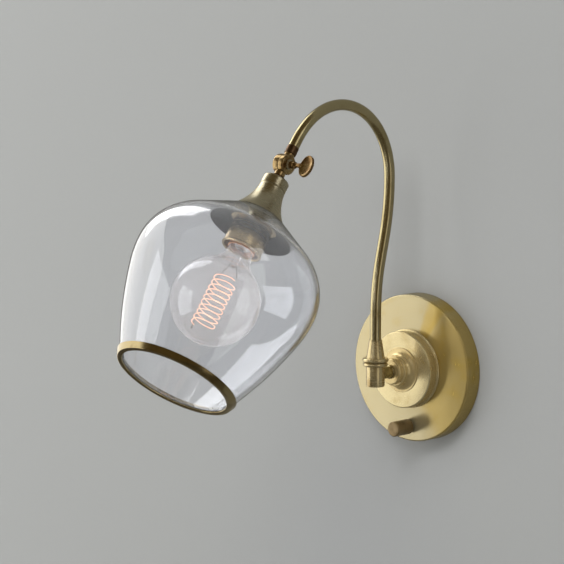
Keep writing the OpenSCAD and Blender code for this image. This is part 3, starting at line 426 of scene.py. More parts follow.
# %% Key paddle
paddle_wide, paddle_tall, paddle_half = 7.0, 10.25, 1.4
paddle_at, paddle_lean = 25.8, 31.0
dish_steps = ((0.55, 0.0), (0.5, -0.18), (1.1, -0.34), (1.4, -0.2), (1.6, -0.08))

start_fresh()
bpy.ops.mesh.primitive_circle_add(vertices=72, radius=1.0, fill_type="NGON", location=(0, 0, 0))
paddle = bpy.context.object
bpy.ops.object.mode_set(mode="EDIT")
bpy.ops.mesh.select_all(action="SELECT")
bpy.ops.transform.resize(value=(paddle_wide, paddle_tall, 1))
bpy.ops.transform.translate(value=(0, 0, -paddle_half))
push((0, 0, 2 * paddle_half))
bpy.ops.mesh.select_all(action="SELECT")
bpy.ops.mesh.normals_make_consistent(inside=False)
bpy.ops.object.mode_set(mode="OBJECT")
for side in (1, -1):
    bpy.ops.object.mode_set(mode="EDIT")
    bpy.ops.mesh.select_all(action="DESELECT")
    bpy.ops.mesh.select_mode(type="FACE")
    bpy.ops.object.mode_set(mode="OBJECT")
    for flat in paddle.data.polygons:
        flat.select = flat.normal.z * side > 0.9
    bpy.ops.object.mode_set(mode="EDIT")
    for margin, press in dish_steps:
        bpy.ops.mesh.inset(thickness=margin, depth=press)
    bpy.ops.object.mode_set(mode="OBJECT")

# %% The paddle's rounded edge
bpy.ops.object.mode_set(mode="EDIT")
bpy.ops.mesh.select_mode(type="EDGE")
bpy.ops.mesh.select_all(action="DESELECT")
bpy.ops.object.mode_set(mode="OBJECT")
for edge in paddle.data.edges:
    a, b = (paddle.data.vertices[v].co for v in edge.vertices)
    on_a_face = abs(abs(a.z) - paddle_half) < 1e-4 and abs(a.z - b.z) < 1e-4
    on_the_rim = (a.x / (paddle_wide - 0.1)) ** 2 + (a.y / (paddle_tall - 0.15)) ** 2 > 1
    edge.select = on_a_face and on_the_rim
bpy.ops.object.mode_set(mode="EDIT")
bpy.ops.mesh.bevel(offset=0.5, segments=4)
bpy.ops.object.mode_set(mode="OBJECT")
paddle_turn = math.radians(TILT - paddle_lean - 180 + 90)
PADDLE = PIVOT @ Matrix.Translation((paddle_at, 0, 0)) @ Matrix.Rotation(paddle_turn, 4, "X")
finish_mesh(paddle, PADDLE, 40)
seat(join(shank, paddle), "thumb_key")

# %% [markdown]
# ## The cap and the bell
# Below the knuckle a plain cap covers the end of the bell. The bell flares in one hollow
# curve until its foot rests on the glass.

# %% Cap
nipple_r, cap_r, cap_neck_r, cap_foot_r = 4.85, 12.0, 10.8, 11.4
cap_low, bell_low = 16.0, 26.0
cap_outline = [(nipple_r, cap_low), (cap_neck_r, cap_low), (cap_r, cap_low + 1.2)]
cap_outline += [(cap_r, bell_low - 0.6), (cap_foot_r, bell_low - 0.5), (cap_foot_r, bell_low)]
cap_outline += [(nipple_r, bell_low), (nipple_r, cap_low)]
seat(turned("holder_cap_turned", eased(cap_outline, 0.4), PIVOT, 96), "holder_cap")

# %% Bell
bell_sheet, bell_length, flare_axis, flare_from, bell_flare = 1.5, 29.2, 61.81, 21.64, 50.0


def bell_radius(height, inset=0.0):
    """Radius of the bell's hollow curve at a distance along the shade's axis."""
    return flare_axis - math.sqrt((bell_flare + inset) ** 2 - (height - flare_from) ** 2)


outer_steps, inner_steps, inner_foot, inner_length = 28, 14, 56.0, 28.4
outer_heights = [bell_low + bell_length * i / outer_steps for i in range(outer_steps + 1)]
inner_heights = [inner_foot - inner_length * i / inner_steps for i in range(inner_steps + 1)]
bell_outline = [(nipple_r, bell_low)] + [(bell_radius(h), h) for h in outer_heights]
bell_outline += [(bell_radius(h, bell_sheet), h) for h in inner_heights]
bell_outline += [(nipple_r, bell_low + bell_sheet), (nipple_r, bell_low)]
seat(turned("bell_spun", eased(bell_outline, 0.3), PIVOT, 144), "bell")

# %% [markdown]
# ## The glass shade
# The shade is blown into a mould: a straight shoulder, a round belly and long, nearly
# straight sides. It is a real wall of glass 2.8 mm thick with an outer and an inner
# surface, because clear glass takes its look from light that bends through both.

# %% The glass's outline
glass_r, glass_wall, glass_hole, mouth_at = 85.0, 2.8, 20.0, 225.1
belly_at, shoulder_r, belly_r, side_r = 121.32, 49.7, 93.0, 361.0
shoulder_turn, waist_turn = 57, 13
waist = math.radians(waist_turn)
side_centre_at = belly_at + (belly_r - side_r) * math.sin(waist)
side_centre_r = glass_r - belly_r + (belly_r - side_r) * math.cos(waist)


def side_radius(height):
    """Radius of the glass's long side at a distance along the shade's axis."""
    return side_centre_r + math.sqrt(side_r ** 2 - (height - side_centre_at) ** 2)


def glass_skin(inset, steps):
    """The glass outline from the shoulder to the mouth, drawn in by inset."""
    last = math.degrees(math.asin((mouth_at - side_centre_at) / (side_r - inset)))
    skin = bow((glass_r - shoulder_r, belly_at), shoulder_r - inset, -shoulder_turn, 0, steps)
    skin += bow((glass_r - belly_r, belly_at), belly_r - inset, 0, waist_turn, steps // 3)[1:]
    return skin + bow((side_centre_r, side_centre_at), side_r - inset, waist_turn, last, steps // 2)[1:]


def shoulder_height(radius, inset):
    """Distance along the axis where the straight shoulder has that radius."""
    a = math.radians(shoulder_turn)
    height = belly_at - (shoulder_r - inset) * math.sin(a)
    width = glass_r - shoulder_r + (shoulder_r - inset) * math.cos(a)
    return height - (width - radius) / math.tan(a)


# %% Shade glass
skin_steps, polish = 36, 0.04
outside, inside = glass_skin(polish, skin_steps), glass_skin(glass_wall, skin_steps)
hole = [(glass_hole, shoulder_height(glass_hole, inset)) for inset in (glass_wall, 0)]
glass_outline = hole + outside + inside[::-1] + [hole[0]]
seat(turned("shade_glass_blown", eased(glass_outline, 0.5), PIVOT, 160, 50), "shade_glass")

# %% [markdown]
# ## What clamps the glass
# A dark dish and a brass washer press the glass against the bell from inside. The dish
# follows the shoulder of the glass, and a thin gasket lies between them.

# %% Dish
dish_r, dish_flat, gasket, dish_sheet, dish_back = 39.2, 23.0, 0.4, 1.2, 59.30
dish_top = glass_wall + gasket
dish_edge = (dish_top, dish_top + dish_sheet / 2, dish_top + dish_sheet)
dish_middle = (nipple_r, shoulder_height(dish_flat, dish_top))
dish_outline = [dish_middle, (dish_flat, dish_middle[1])]
dish_outline += [(dish_r, shoulder_height(dish_r, inset)) for inset in dish_edge]
dish_outline += [(dish_flat, dish_back), (nipple_r, dish_back), dish_middle]
seat(turned("glass_plate_pressed", eased(dish_outline, 0.3), PIVOT, 144), "glass_plate")

# %% Washer
seat_thick = 1.4
seat_outline = [(nipple_r, dish_back), (dish_flat, dish_back), (dish_flat - 0.7, dish_back + seat_thick)]
seat_outline += [(nipple_r, dish_back + seat_thick), (nipple_r, dish_back)]
seat(turned("seat_washer_turned", eased(seat_outline, 0.35), PIVOT, 120), "seat_washer")

# %% [markdown]
# ## The lampholder cup
# The cup is drawn from thin sheet, so its top corner is soft and its mouth is curled over
# a wire. The bulb's cap sits inside it.

# %% Cup
cup_r, cup_sheet, cup_round, cup_top, cup_web = 18.1, 0.8, 1.8, 60.7, 62.3
curl_r, curl_middle = 1.3, (17.7, 89.6)
corner = (cup_r - cup_round, cup_top + cup_round)
cup_outline = [(nipple_r, cup_top)] + bow(corner, cup_round, -90, 0, 6)
cup_outline += bow(curl_middle, curl_r, -60, 180, 12) + [(cup_r - cup_sheet, corner[1])]
cup_outline += bow(corner, cup_round - cup_sheet, 0, -90, 5)
cup_outline += [(7.2, cup_top + cup_sheet), (7.2, cup_web), (nipple_r, cup_web), (nipple_r, cup_top)]
seat(turned("lampholder_cup_drawn", cup_outline, PIVOT, 120), "lampholder_cup")

# %% [markdown]
# ## The bulb
# The bulb is a thin glass globe, with a neck that runs into its screw cap in one
# reverse curve. Inside stand a glass stem and two wires that hold the coiled filament.

# %% Globe
globe_r, globe_neck, neck_end, cap_front, globe_at = 40.0, 11.55, 71.5, 90.5, 143.8
globe_wall = 0.0008
neck_drop = globe_at - cap_front
fillet = (neck_drop ** 2 + globe_neck ** 2 - globe_r ** 2) / (2 * (globe_r - globe_neck))
neck_turn = math.degrees(math.atan2(neck_drop, globe_neck + fillet))
globe_skin = [(0, neck_end), (globe_neck, neck_end)]
globe_skin += bow((globe_neck + fillet, cap_front), fillet, 180, 180 - neck_turn, 14)
globe_skin += bow((0, globe_at), globe_r, -neck_turn, 90, 48)[1:]
globe = turned("bulb_glass_blown", globe_skin, PIVOT, 128, 50)
blown = globe.modifiers.new("wall", "SOLIDIFY")
blown.thickness, blown.offset = globe_wall, -1
bpy.ops.object.modifier_apply(modifier="wall")
seat(globe, "bulb_glass")

# %% [markdown]
# ## The filament
# The filament is a wire wound in an open coil. A small circle is drawn at the coil's
# radius, and a Screw modifier winds it round the axis by one pitch a turn. Real turns
# never lie quite even, so three soft displacements sway the coil a little.

# %% Filament
turns, pitch, coil_r, wire_r, coil_shift = 9.5, 5.0, 10.5, 0.35, 1.5
start_fresh()
bpy.ops.mesh.primitive_circle_add(vertices=8, radius=wire_r, location=(coil_r, 0, 0),
                                  rotation=(QUARTER, 0, 0))
coil = bpy.context.object
coil.name = "filament_wound"
bpy.ops.object.transform_apply(location=True, rotation=True, scale=True)
screw = coil.modifiers.new("wind", "SCREW")
screw.axis = "Z"
screw.angle = 2 * math.pi * turns
screw.screw_offset = pitch * turns
screw.iterations = 1
screw.steps = screw.render_steps = int(28 * turns)
bpy.ops.object.modifier_apply(modifier="wind")
for way, size in (("X", 7.0), ("Y", 8.0), ("Z", 9.0)):
    sway = bpy.data.textures.new("sway_" + way, "CLOUDS")
    sway.noise_scale, sway.noise_depth = size, 0
    uneven = coil.modifiers.new("uneven", "DISPLACE")
    uneven.texture, uneven.direction = sway, way
    uneven.strength, uneven.mid_level = 1.6, 0.5
    bpy.ops.object.modifier_apply(modifier="uneven")
bpy.ops.object.mode_set(mode="EDIT")
bpy.ops.mesh.select_all(action="SELECT")
bpy.ops.mesh.fill_holes(sides=0)
bpy.ops.object.mode_set(mode="OBJECT")
FILAMENT = PIVOT @ Matrix.Translation((0, 0, globe_at + coil_shift - turns * pitch / 2))
seat(finish_mesh(coil, FILAMENT, 60), "filament")

# %% [markdown]
# ## The band at the mouth
# A brass band covers the cut edge of the glass. It stands proud of the glass outside and
# turns in under its edge.

# %% Mouth band
band_rear, band_front, band_out, band_lip, band_gap = 221.1, 226.7, 2.8, 4.6, 0.05
glass_end = mouth_at + band_gap
rear_r, front_r = side_radius(band_rear) + band_out, side_radius(band_front) + band_out
band_outline = [(side_radius(band_rear) + band_gap, band_rear), (rear_r, band_rear), (front_r, band_front)]
band_outline += [(front_r - band_lip, band_front), (front_r - band_lip, glass_end)]
band_outline += [(side_radius(mouth_at) + band_gap, glass_end), band_outline[0]]
seat(turned("mouth_band_turned", eased(band_outline, 0.5), PIVOT, 180), "mouth_band")

# %% [markdown]
# ## The switch knob
# A plain round knob stands out below the disc and turns a rotary switch behind the plate.

# %% Knob
knob_r, knob_low, knob_high, knob_bore, knob_skirt, bore_end = 7.0, 20.0, 41.5, 2.05, 5.65, 33.0
knob_outline = [(knob_bore, knob_low + 1.8), (knob_skirt, knob_low + 1.8), (knob_skirt, knob_low)]
knob_outline += [(knob_r - 0.4, knob_low), (knob_r, knob_low + 1.0), (knob_r, knob_high - 0.8)]
knob_outline += [(knob_r - 0.8, knob_high), (0, knob_high), (0, bore_end), (knob_bore, bore_end)]
knob_outline.append(knob_outline[0])
seat(turned("knob_turned", eased(knob_outline, 0.3), KNOB, 80), "knob")
print(len(dressed), "pieces drawn again")

# %% [markdown]
# ## Writing a finish
# A finish is a small graph of shader nodes. Plain Python reads better than a list of
# links, so a socket is wrapped in a class whose + - and * add Math nodes, and any other
# node comes from one method that takes its type, its settings and its inputs.

# %% A socket that can be reckoned with


class Signal:
    """A shader socket that can be added, taken away and multiplied."""

    def __init__(self, graph, socket):
        self.graph, self.socket = graph, socket

    def reckon(self, kind, first, second):
        return self.graph.node("ShaderNodeMath", {"operation": kind}, {0: first, 1: second})

    def __add__(self, other):
        return self.reckon("ADD", self, other)

    def __radd__(self, other):
        return self.reckon("ADD", other, self)

    def __sub__(self, other):
        return self.reckon("SUBTRACT", self, other)

    def __rsub__(self, other):
        return self.reckon("SUBTRACT", other, self)

    def __mul__(self, other):
        return self.reckon("MULTIPLY", self, other)

    def __rmul__(self, other):
        return self.reckon("MULTIPLY", other, self)


# %% The graph of nodes


class Graph:
    """The nodes of one material or of the room's air."""

    def __init__(self, tree, end):
        self.tree = tree
        tree.nodes.clear()
        self.out = tree.nodes.new(end)

    def node(self, kind, settings, inputs, output=0):
        """Adds a node, first with its settings and then with values or links at its sockets."""
        made = self.tree.nodes.new(kind)
        for name, value in settings.items():
            setattr(made, name, value)
        for key, value in inputs.items():
            if isinstance(value, Signal):
                self.tree.links.new(value.socket, made.inputs[key])
            else:
                made.inputs[key].default_value = value
        return Signal(self, made.outputs[output])

    def show(self, shader):
        """Makes this shader the one that is seen."""
        self.tree.links.new(shader.socket, self.out.inputs["Surface"])

    def mask(self, value, low, high):
        """0 below low, 1 above high, smooth between."""
        return self.node("ShaderNodeMapRange", {"interpolation_type": "SMOOTHSTEP"},
                         {"Value": value, "From Min": low, "From Max": high}, "Result")

    def blend(self, factor, first, second):
        """Mixes two colours."""
        colours = [c if isinstance(c, Signal) else (*c, 1) for c in (first, second)]
        values = {0: factor, 6: colours[0], 7: colours[1]}
        return self.node("ShaderNodeMix", {"data_type": "RGBA"}, values, 2)

    def vector(self, operation, first, second, output="Vector"):
        """Vector Math on two vectors."""
        return self.node("ShaderNodeVectorMath", {"operation": operation}, {0: first, 1: second}, output)

    def length(self, vector):
        return self.node("ShaderNodeVectorMath", {"operation": "LENGTH"}, {0: vector}, "Value")

    def ray(self, kind):
        """1 for one kind of light ray, such as "Is Shadow Ray"."""
        return self.node("ShaderNodeLightPath", {}, {}, kind)

    def mix(self, factor, first, second):
        """Mixes two shaders."""
        return self.node("ShaderNodeMixShader", {}, {0: factor, 1: first, 2: second})

    def clear(self, colour=(1, 1, 1)):
        """Lets light through and tints it."""
        return self.node("ShaderNodeBsdfTransparent", {}, {"Color": (*colour, 1)})


# %% One material


class Finish(Graph):
    """One material, with its shader and the patterns that feed it."""

    def __init__(self, name):
        self.material = bpy.data.materials.new(name)
        self.material.use_nodes = True
        super().__init__(self.material.node_tree, "ShaderNodeOutputMaterial")
        self.place = self.node("ShaderNodeTexCoord", {}, {}, "Object")

    def noise(self, scale, detail=3.0, rough=0.5, where=None):
        """Soft noise, with scale in features per metre."""
        values = {"Vector": where or self.place, "Scale": scale, "Detail": detail, "Roughness": rough}
        return self.node("ShaderNodeTexNoise", {}, values, "Fac")

    def bump(self, height, strength, distance):
        values = {"Height": height, "Strength": strength, "Distance": distance}
        return self.node("ShaderNodeBump", {}, values, "Normal")

    def shade(self, **inputs):
        """The main shader, with its inputs named in Python's way."""
        names = {key: key.replace("_", " ").title().replace("Ior", "IOR") for key in inputs}
        values = {names[key]: value for key, value in inputs.items()}
        made = self.node("ShaderNodeBsdfPrincipled", {}, values)
        self.show(made)
        return made


def coat(finish, *nodes):
    """Puts a finish on what shows of these CAD nodes."""
    for node in nodes:
        piece = dressed.get(node) or frame["nodes"][node]
        piece.data.materials.clear()
        piece.data.materials.append(finish.material)
    print(finish.material.name, "on", ", ".join(nodes))


# %% [markdown]
# ## Aged brass
# Satin brass that was brushed and lacquered has three things: a warm yellow that drifts
# a little towards brown, fine marks of the brush, and cloudy patches where the shine is
# duller. On turned pieces the brush ran round the axis, so the marks are noise that is
# read at the distance from the axis. Lacquer and tarnish scatter some light, which bare
# metal doesn't, so some pieces aren't quite fully metallic.

# %% Brush marks
fine_marks = 1400.0


def brush_marks(finish, axis):
    """Marks that run round an axis, given as its place and turn, or along z where there is none."""
    if not axis:
        long_way = {"Vector": finish.place, "Scale": (500.0, 500.0, 60.0)}
        return finish.noise(1.0, 3.0, 0.6, finish.node("ShaderNodeMapping", {}, long_way, "Vector"))
    values = {"Vector": finish.place, "Location": axis[0], "Rotation": axis[1]}
    centred = finish.node("ShaderNodeMapping", {"vector_type": "TEXTURE"}, values, "Vector")
    radius = finish.length(finish.vector("MULTIPLY", centred, (1, 1, 0)))
    height = finish.node("ShaderNodeSeparateXYZ", {}, {0: centred}, "Z")
    values = {0: radius * fine_marks, 1: height * fine_marks, 2: finish.noise(20.0) * 0.6}
    return finish.noise(1.0, 3.0, 0.65, finish.node("ShaderNodeCombineXYZ", {}, values, "Vector"))


# %% Brass


def brass_finish(name, clean, aged, roughness, axis=None, patch=45.0, age_at=(0.5, 0.72),
                 marks=1.0, bare=1.0, painted_fans=None):
    """Satin brass. patch is the clouds in a metre, and age_at is where they turn brown.
    marks is the strength of the brush marks, bare is 1 for bare metal, and the last argument paints shade
    and a dark reflection streak on the piece."""
    finish = Finish(name)
    cloud = finish.noise(patch, 4.0, 0.55)
    fine = finish.noise(900.0, 2.0, 0.6)
    tarnish_and_painted_shade = finish.mask(cloud, *age_at)
    if painted_fans:
        # Painted shade and reflection streaks, where a piece has them, are laid over the tarnish clouds.
        tarnish_and_painted_shade = tarnish_and_painted_shade * 0.35 + painted_fans(finish)
    brushed = brush_marks(finish, axis)
    finish.shade(base_color=finish.blend(tarnish_and_painted_shade * 0.7 + brushed * 0.25, clean, aged), metallic=bare,
                 roughness=cloud * 0.16 + brushed * 0.14 * marks + (roughness - 0.14),
                 normal=finish.bump(brushed * 0.7 + fine * 0.3, 0.18 * marks, 0.0004))
    return finish


def painted_plate_shade(finish):
    """Painted shade on the plate's right side, and a painted dark streak of its brushed reflection at one
    o'clock.
    """
    way = finish.vector("NORMALIZE", finish.vector("MULTIPLY", finish.place, (1, 0, 1)), (0, 0, 0))

    def towards(degrees):
        """1 in this direction from the middle, counted from the top to the right."""
        aim = (math.sin(math.radians(degrees)), 0, math.cos(math.radians(degrees)))
        return finish.vector("DOT_PRODUCT", way, aim, "Value")

    right = finish.mask(towards(95) + finish.noise(14.0) * 0.3, 0.42, 0.86)
    wedge = finish.mask(towards(27), 0.982, 0.998)
    return right * 0.85 + wedge * 0.8


wall_axis = ((0, 0, 0), (QUARTER, 0, 0))
post_axis = ((0, -post_reach / 1000, 0), (0, 0, 0))
shade_axis = ((0, -pivot_reach / 1000, pivot_height / 1000), (SHADE_TURN, 0, 0))

# %% Brass pieces on the wall
# The plate's aged colour also serves as painted shade on its right side and as a painted reflection streak
# at one o'clock.
coat(brass_finish("plate_brass", (0.47, 0.41, 0.25), (0.48, 0.335, 0.075), 0.27, wall_axis,
                  marks=0.45, bare=0.72, painted_fans=painted_plate_shade), "wall_plate")
coat(brass_finish("disc_brass", (0.64, 0.54, 0.30), (0.50, 0.38, 0.16), 0.27, wall_axis,
                  marks=0.5, bare=0.75), "hub_disc")
coat(brass_finish("hub_brass", (0.62, 0.49, 0.24), (0.46, 0.33, 0.13), 0.28, wall_axis,
                  marks=0.6, bare=0.7), "hub")

# %% Brass pieces of the shade
coat(brass_finish("shade_brass", (0.52, 0.47, 0.33), (0.36, 0.30, 0.17), 0.28, shade_axis,
                  age_at=(0.55, 0.8)), "holder_cap", "bell", "key_washer")
coat(brass_finish("band_brass", (0.44, 0.36, 0.19), (0.20, 0.135, 0.05), 0.17, shade_axis), "mouth_band")
coat(brass_finish("cup_brass", (0.50, 0.39, 0.23), (0.33, 0.23, 0.10), 0.25, shade_axis),
     "lampholder_cup", "seat_washer")

# %% [markdown]
# ## Bronze, and where fingers wear it
# The arm and its small pieces are darker, and brown tarnish stays where nobody rubs. The knurls hold the
# most of it. The lampholder's shell and the bulb's cap are brass painted an orange copper, a painted
# reflection of the filament's warm glow inside the cup.

# %% Dark bronze, and the shell's painted glow
coat(brass_finish("post_bronze", (0.62, 0.51, 0.28), (0.32, 0.215, 0.08), 0.24, post_axis,
                  patch=70.0, bare=0.85), "post", "post_plug", "post_ring", "ferrule")
coat(brass_finish("arm_bronze", (0.52, 0.45, 0.26), (0.34, 0.26, 0.11), 0.22, patch=30.0),
     "arm_tube", "stub")
coat(brass_finish("key_bronze", (0.44, 0.32, 0.15), (0.20, 0.11, 0.04), 0.26, patch=110.0,
                  age_at=(0.42, 0.60)), "knuckle_upper", "knuckle_lower", "thumb_key")
coat(brass_finish("knob_bronze", (0.24, 0.17, 0.08), (0.14, 0.09, 0.035), 0.32, wall_axis,
                  patch=120.0, bare=0.6), "knob")
coat(brass_finish("knurl_bronze", (0.15, 0.09, 0.045), (0.06, 0.035, 0.02), 0.36, patch=160.0),
     "tip_collar", "neck_collar_ring")
# The shell's orange is a brass tone pushed towards the filament's warm glow: a painted reflection of it
# inside the cup.
coat(brass_finish("shell_brass_and_painted_glow", (0.80, 0.40, 0.20), (0.62, 0.26, 0.11), 0.42, patch=90.0,
                  bare=0.4), "screw_shell", "bulb_cap", "centre_contact")

# %% [markdown]
# ## Zinc and spring steel
# The fixings behind the plate are zinc plated. Zinc shows a faint spangle of crystals,
# which a Voronoi pattern gives.

# %% Steel finishes


def plated_finish(name, light, dark, roughness):
    """Plated steel with a faint spangle."""
    finish = Finish(name)
    spangle = finish.node("ShaderNodeTexVoronoi", {}, {"Vector": finish.place, "Scale": 420.0}, "Distance")
    smear = finish.noise(90.0, 4.0)
    finish.shade(base_color=finish.blend(spangle * 0.6 + smear * 0.4, light, dark), metallic=1.0,
                 roughness=smear * 0.2 + (roughness - 0.1), normal=finish.bump(spangle, 0.1, 0.0003))
    return finish


coat(plated_finish("zinc_plate", (0.62, 0.63, 0.64), (0.40, 0.41, 0.43), 0.34),
     "mounting_bar", "bar_nut", "centre_nipple", "plate_nut", "switch_nut", "switch_shaft",
     "swivel_stem", "shade_nipple")
coat(plated_finish("spring_blue", (0.16, 0.17, 0.20), (0.08, 0.08, 0.10), 0.36), "snap_ring")
coat(plated_finish("support_grey", (0.34, 0.31, 0.28), (0.22, 0.20, 0.18), 0.32),
     "support_upper", "support_lower")

# %% [markdown]
# ## Paint, plastic, rubber and porcelain
# These don't conduct, so they are coloured right through or painted. What tells them
# apart is the gloss and the grain: paint has a faint orange peel, rubber is matt, and
# glaze has a clear coat over it.

# %% Coloured finishes


def body_finish(name, light, dark, roughness, grain, depth, gloss=0.0, shine=0.5):
    """A coloured material with fine grain and cloudy wear."""
    finish = Finish(name)
    cloud, speck = finish.noise(60.0, 4.0), finish.noise(grain, 2.0)
    finish.shade(base_color=finish.blend(finish.mask(cloud, 0.35, 0.7), light, dark),
                 specular_ior_level=shine, coat_weight=gloss,
                 roughness=cloud * 0.2 + speck * 0.1 + (roughness - 0.15),
                 normal=finish.bump(speck, depth, 0.0003))
    return finish


coat(body_finish("earth_green", (0.05, 0.22, 0.09), (0.03, 0.14, 0.06), 0.4, 900.0, 0.15), "earth_screw")
coat(body_finish("lead_jacket", (0.02, 0.02, 0.02), (0.04, 0.04, 0.04), 0.6, 1500.0, 0.2),
     "wall_lead", "arm_lead", "shade_lead", "switch_lead")
coat(body_finish("black_moulding", (0.015, 0.015, 0.017), (0.03, 0.03, 0.032), 0.45, 1200.0, 0.15),
     "switch_body", "bulb_insulator")
coat(body_finish("gasket_rubber", (0.28, 0.29, 0.28), (0.20, 0.21, 0.20), 0.7, 1000.0, 0.2),
     "glass_gasket")
coat(body_finish("dish_paint", (0.026, 0.026, 0.029), (0.015, 0.015, 0.017), 0.42, 700.0, 0.12,
                 shine=0.1), "glass_plate")
coat(body_finish("porcelain_glaze", (0.82, 0.80, 0.74), (0.72, 0.69, 0.62), 0.2, 300.0, 0.05,
                 gloss=0.6), "insulator")

# %% [markdown]
# ## Glass
# Clear glass is a shader that bends light. Behind it stand things that should still be lit, and tracing
# lit paths through two curved walls takes many samples, so rays that only ask for shadow pass straight
# through. Blown glass is never quite even, so a slow ripple bends its reflections. Where one looks along
# the wall, a darker tint and a thin dark line are painted at its edge: painted shade for the dark that the
# glass bends in there. A film of dust makes the bulb a little milky.

# %% Shade and bulb glass


def glass_finish(name, tint, edge, ripple, depth, clear_part, veil=0.0, line=0.0, sheen=0.0):
    """Clear blown glass with a ripple. veil is the film of dust, edge the painted darker tint and line the
    strength of the painted dark line where the glass is seen edge on, and sheen a second gloss on top."""
    finish = Finish(name)
    wave = finish.noise(ripple, 1.0)
    smear = finish.noise(35.0, 4.0)
    along = finish.node("ShaderNodeLayerWeight", {}, {"Blend": 0.5}, "Facing")
    # Towards the silhouette the tint turns to the edge colour: painted shade.
    body = finish.shade(base_color=finish.blend(finish.mask(along, 0.86, 1.0), tint, edge),
                        transmission_weight=clear_part, ior=1.50, coat_weight=sheen,
                        roughness=finish.mask(smear, 0.55, 0.8) * 0.03,
                        normal=finish.bump(wave, depth, 0.002))
    film = finish.node("ShaderNodeBsdfTranslucent", {}, {"Color": (0.95, 0.95, 0.94, 1)})
    dusty = finish.mix(finish.mask(along, 0.45, 1.0) * veil + veil * 0.3, body, film)
    # A dark clear layer is mixed in where the glass is seen edge on: a painted dark line.
    lined = finish.mix(finish.mask(along, 0.81, 0.94) * line, dusty, finish.clear((0.20, 0.20, 0.21)))
    finish.show(finish.mix(finish.ray("Is Shadow Ray"), lined, finish.clear(tint)))
    return finish


# The shade's dark edge tint and edge line are painted shade.
coat(glass_finish("shade_clear", (0.96, 0.97, 1.0), (0.30, 0.31, 0.33), 18.0, 0.12, 0.96,
                  line=0.5, sheen=0.7), "shade_glass")
coat(glass_finish("bulb_clear", (0.98, 0.97, 0.96), (0.95, 0.95, 0.95), 40.0, 0.10, 0.97,
                  veil=0.17), "bulb_glass", "bulb_stem")

# %% [markdown]
# ## The lit filament
# The filament glows a soft peach. Its glow drifts a little along the wire, as a real one
# is hotter in the middle of its turns.

# %% Filament finish
glow = Finish("filament_glow")
heat = glow.noise(120.0, 2.0)
glow_colour = glow.blend(glow.mask(heat, 0.35, 0.65), (1.0, 0.46, 0.26), (1.0, 0.58, 0.38))
glow.shade(base_color=(0.30, 0.16, 0.10, 1), metallic=0.0, roughness=heat * 0.2 + 0.4,
           emission_color=glow_colour, emission_strength=1.8)
coat(glow, "filament")

# %% [markdown]
# ## The wall and the floor
# The light hangs on a grey wall in a studio. Brass needs dark to reflect as much as it
# needs light, and a real studio has dark corners that a plain wall and floor lack. So
# both are darker for rays that brass mirrors than for the eye. The wall is open behind
# the plate, where a real one has its wall box, and seen from behind it isn't there.

# %% Colours for the eye and for the mirror


def dimmed(graph, straight, mirrored):
    """One colour for straight looks and looks through glass, and one for what brass mirrors."""
    only_mirrored = graph.ray("Is Glossy Ray") - graph.ray("Is Transmission Ray")
    return graph.blend(graph.mask(only_mirrored, 0.0, 1.0), straight, mirrored)


# %% Wall
wall_gap, wall_middle, wall_wide, wall_tall = 0.0006, (-0.02, 0.5), 1.24, 3.2
box_hole = 0.065
start_fresh()
bpy.ops.mesh.primitive_plane_add(size=1, location=(wall_middle[0], wall_gap, wall_middle[1]),
                                 rotation=(QUARTER, 0, 0))
wall = bpy.context.object
wall.name = "studio_board"
bpy.ops.object.mode_set(mode="EDIT")
bpy.ops.transform.resize(value=(wall_wide, 1, wall_tall))
bpy.ops.object.mode_set(mode="OBJECT")
bpy.ops.object.transform_apply(location=True, rotation=True, scale=True)

paint = Finish("wall_paint")
grain = paint.noise(260.0, 3.0)
plain_grey = paint.blend(grain, (0.352, 0.355, 0.348), (0.360, 0.363, 0.356))
matt = paint.shade(base_color=dimmed(paint, plain_grey, (0.21, 0.205, 0.185)), roughness=0.9,
                   specular_ior_level=0.1, normal=paint.bump(grain, 0.05, 0.0005))
from_middle = paint.length(paint.vector("MULTIPLY", paint.place, (1, 0, 1)))
wall_box = 1.0 - paint.mask(from_middle, box_hole - 0.0005, box_hole)
seen_from_behind = paint.node("ShaderNodeNewGeometry", {}, {}, "Backfacing")
open_part = paint.node("ShaderNodeMath", {"operation": "MAXIMUM"}, {0: seen_from_behind, 1: wall_box})
paint.show(paint.mix(open_part, matt, paint.clear()))
wall.data.materials.append(paint.material)
print("wall", wall_wide, "by", wall_tall, "m")

# %% Floor
floor_size, floor_drop = 9, 1.1
start_fresh()
bpy.ops.mesh.primitive_plane_add(size=floor_size, location=(0, -2, -floor_drop))
floor = bpy.context.object
floor.name = "studio_floor"
bpy.ops.object.transform_apply(location=True, rotation=True, scale=True)
boards = Finish("floor_paint")
pale = boards.blend(boards.noise(8.0, 4.0), (0.72, 0.72, 0.71), (0.76, 0.76, 0.75))
boards.shade(base_color=dimmed(boards, pale, (0.10, 0.085, 0.06)), roughness=0.8)
floor.data.materials.append(boards.material)
print("floor", floor_drop, "m below the light")

# %% [markdown]
# ## The lamps
# The wall is lit by two soft boxes, above and in front. A box on the left draws the long
# bright side on plate, tube and glass, and a weaker one on the right the second streak of
# the tube. Two small ones above draw short streaks on the loop and the bell. The bulb
# stands behind the shade's glass, so a box that only rays through glass can find puts
# clean ovals on it. The last stands behind the wall and shows the back of the plate.

# %% Soft boxes


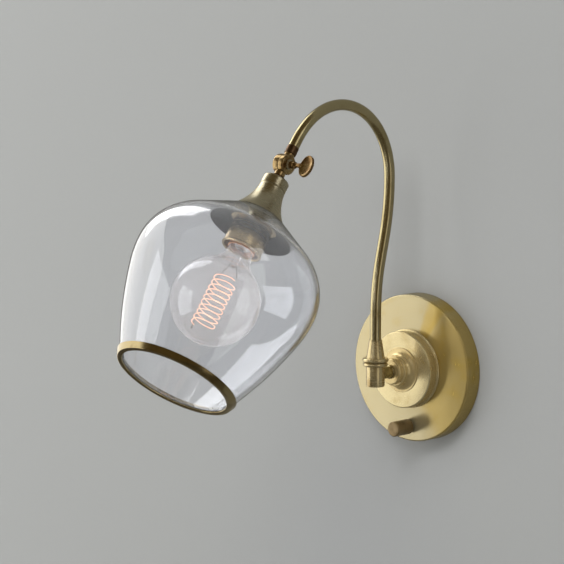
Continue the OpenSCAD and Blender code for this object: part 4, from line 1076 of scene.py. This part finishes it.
def soft_box(name, where, aim, width, height, power, lights="diffuse glossy transmission"):
    """A flat lamp that faces a point. lights names the rays that find it: diffuse is what it
    lights, glossy the streaks on bare brass, and transmission what stands behind glass."""
    box = bpy.data.lights.new(name, "AREA")
    box.shape, box.size, box.size_y, box.energy = "RECTANGLE", width, height, power
    lamp = bpy.data.objects.new(name, box)
    lamp.location = where
    lamp.visible_camera = False
    lamp.visible_diffuse = "diffuse" in lights
    lamp.visible_glossy = "glossy" in lights
    lamp.visible_transmission = "transmission" in lights
    lamp.rotation_euler = (Vector(aim) - Vector(where)).to_track_quat("-Z", "Y").to_euler()
    bpy.context.collection.objects.link(lamp)
    print(name, "radiance", round(power / (math.pi * width * height), 2))


soft_box("left_box", (-1.2, -0.7, 0.1), (0, -0.7, 0.1), 2.2, 1.8, 20, "diffuse glossy")
soft_box("right_box", (2.0, -0.65, 0.1), (0, -0.2, 0.1), 0.85, 1.8, 2.8)
soft_box("upper_right_box", (1.5, -0.3, 1.2), (0, -0.15, 0.2), 0.9, 0.6, 2.0, "glossy transmission")
soft_box("upper_left_box", (-0.50, -0.11, 0.54), (0, -0.22, 0.17), 0.3, 0.6, 1.5, "glossy transmission")
soft_box("bulb_box", (-1.3, -1.85, 0.15), (0, -0.3, 0.08), 1.6, 1.9, 26, "transmission")
soft_box("ceiling_box", (0.3, -1.3, 2.2), (0.1, -0.2, 0.1), 2.4, 1.6, 18, "diffuse")
soft_box("front_box", (0.9, -2.6, 2.3), (0, -0.1, 0.1), 1.8, 1.2, 52, "diffuse")
soft_box("back_box", (0.6, 2.2, 1.0), (0, 0, 0), 1.5, 1.5, 24, "diffuse glossy")

# %% The room's air
room = bpy.data.worlds.new("room")
bpy.context.scene.world = room
room.use_nodes = True
air = Graph(room.node_tree, "ShaderNodeOutputWorld")
haze = dimmed(air, (0.38, 0.385, 0.375), (0.115, 0.086, 0.042))
air.show(air.node("ShaderNodeBackground", {}, {"Color": haze}))
bpy.context.scene.view_settings.view_transform = "Standard"
print("the room is grey to the eye and dim to the brass")
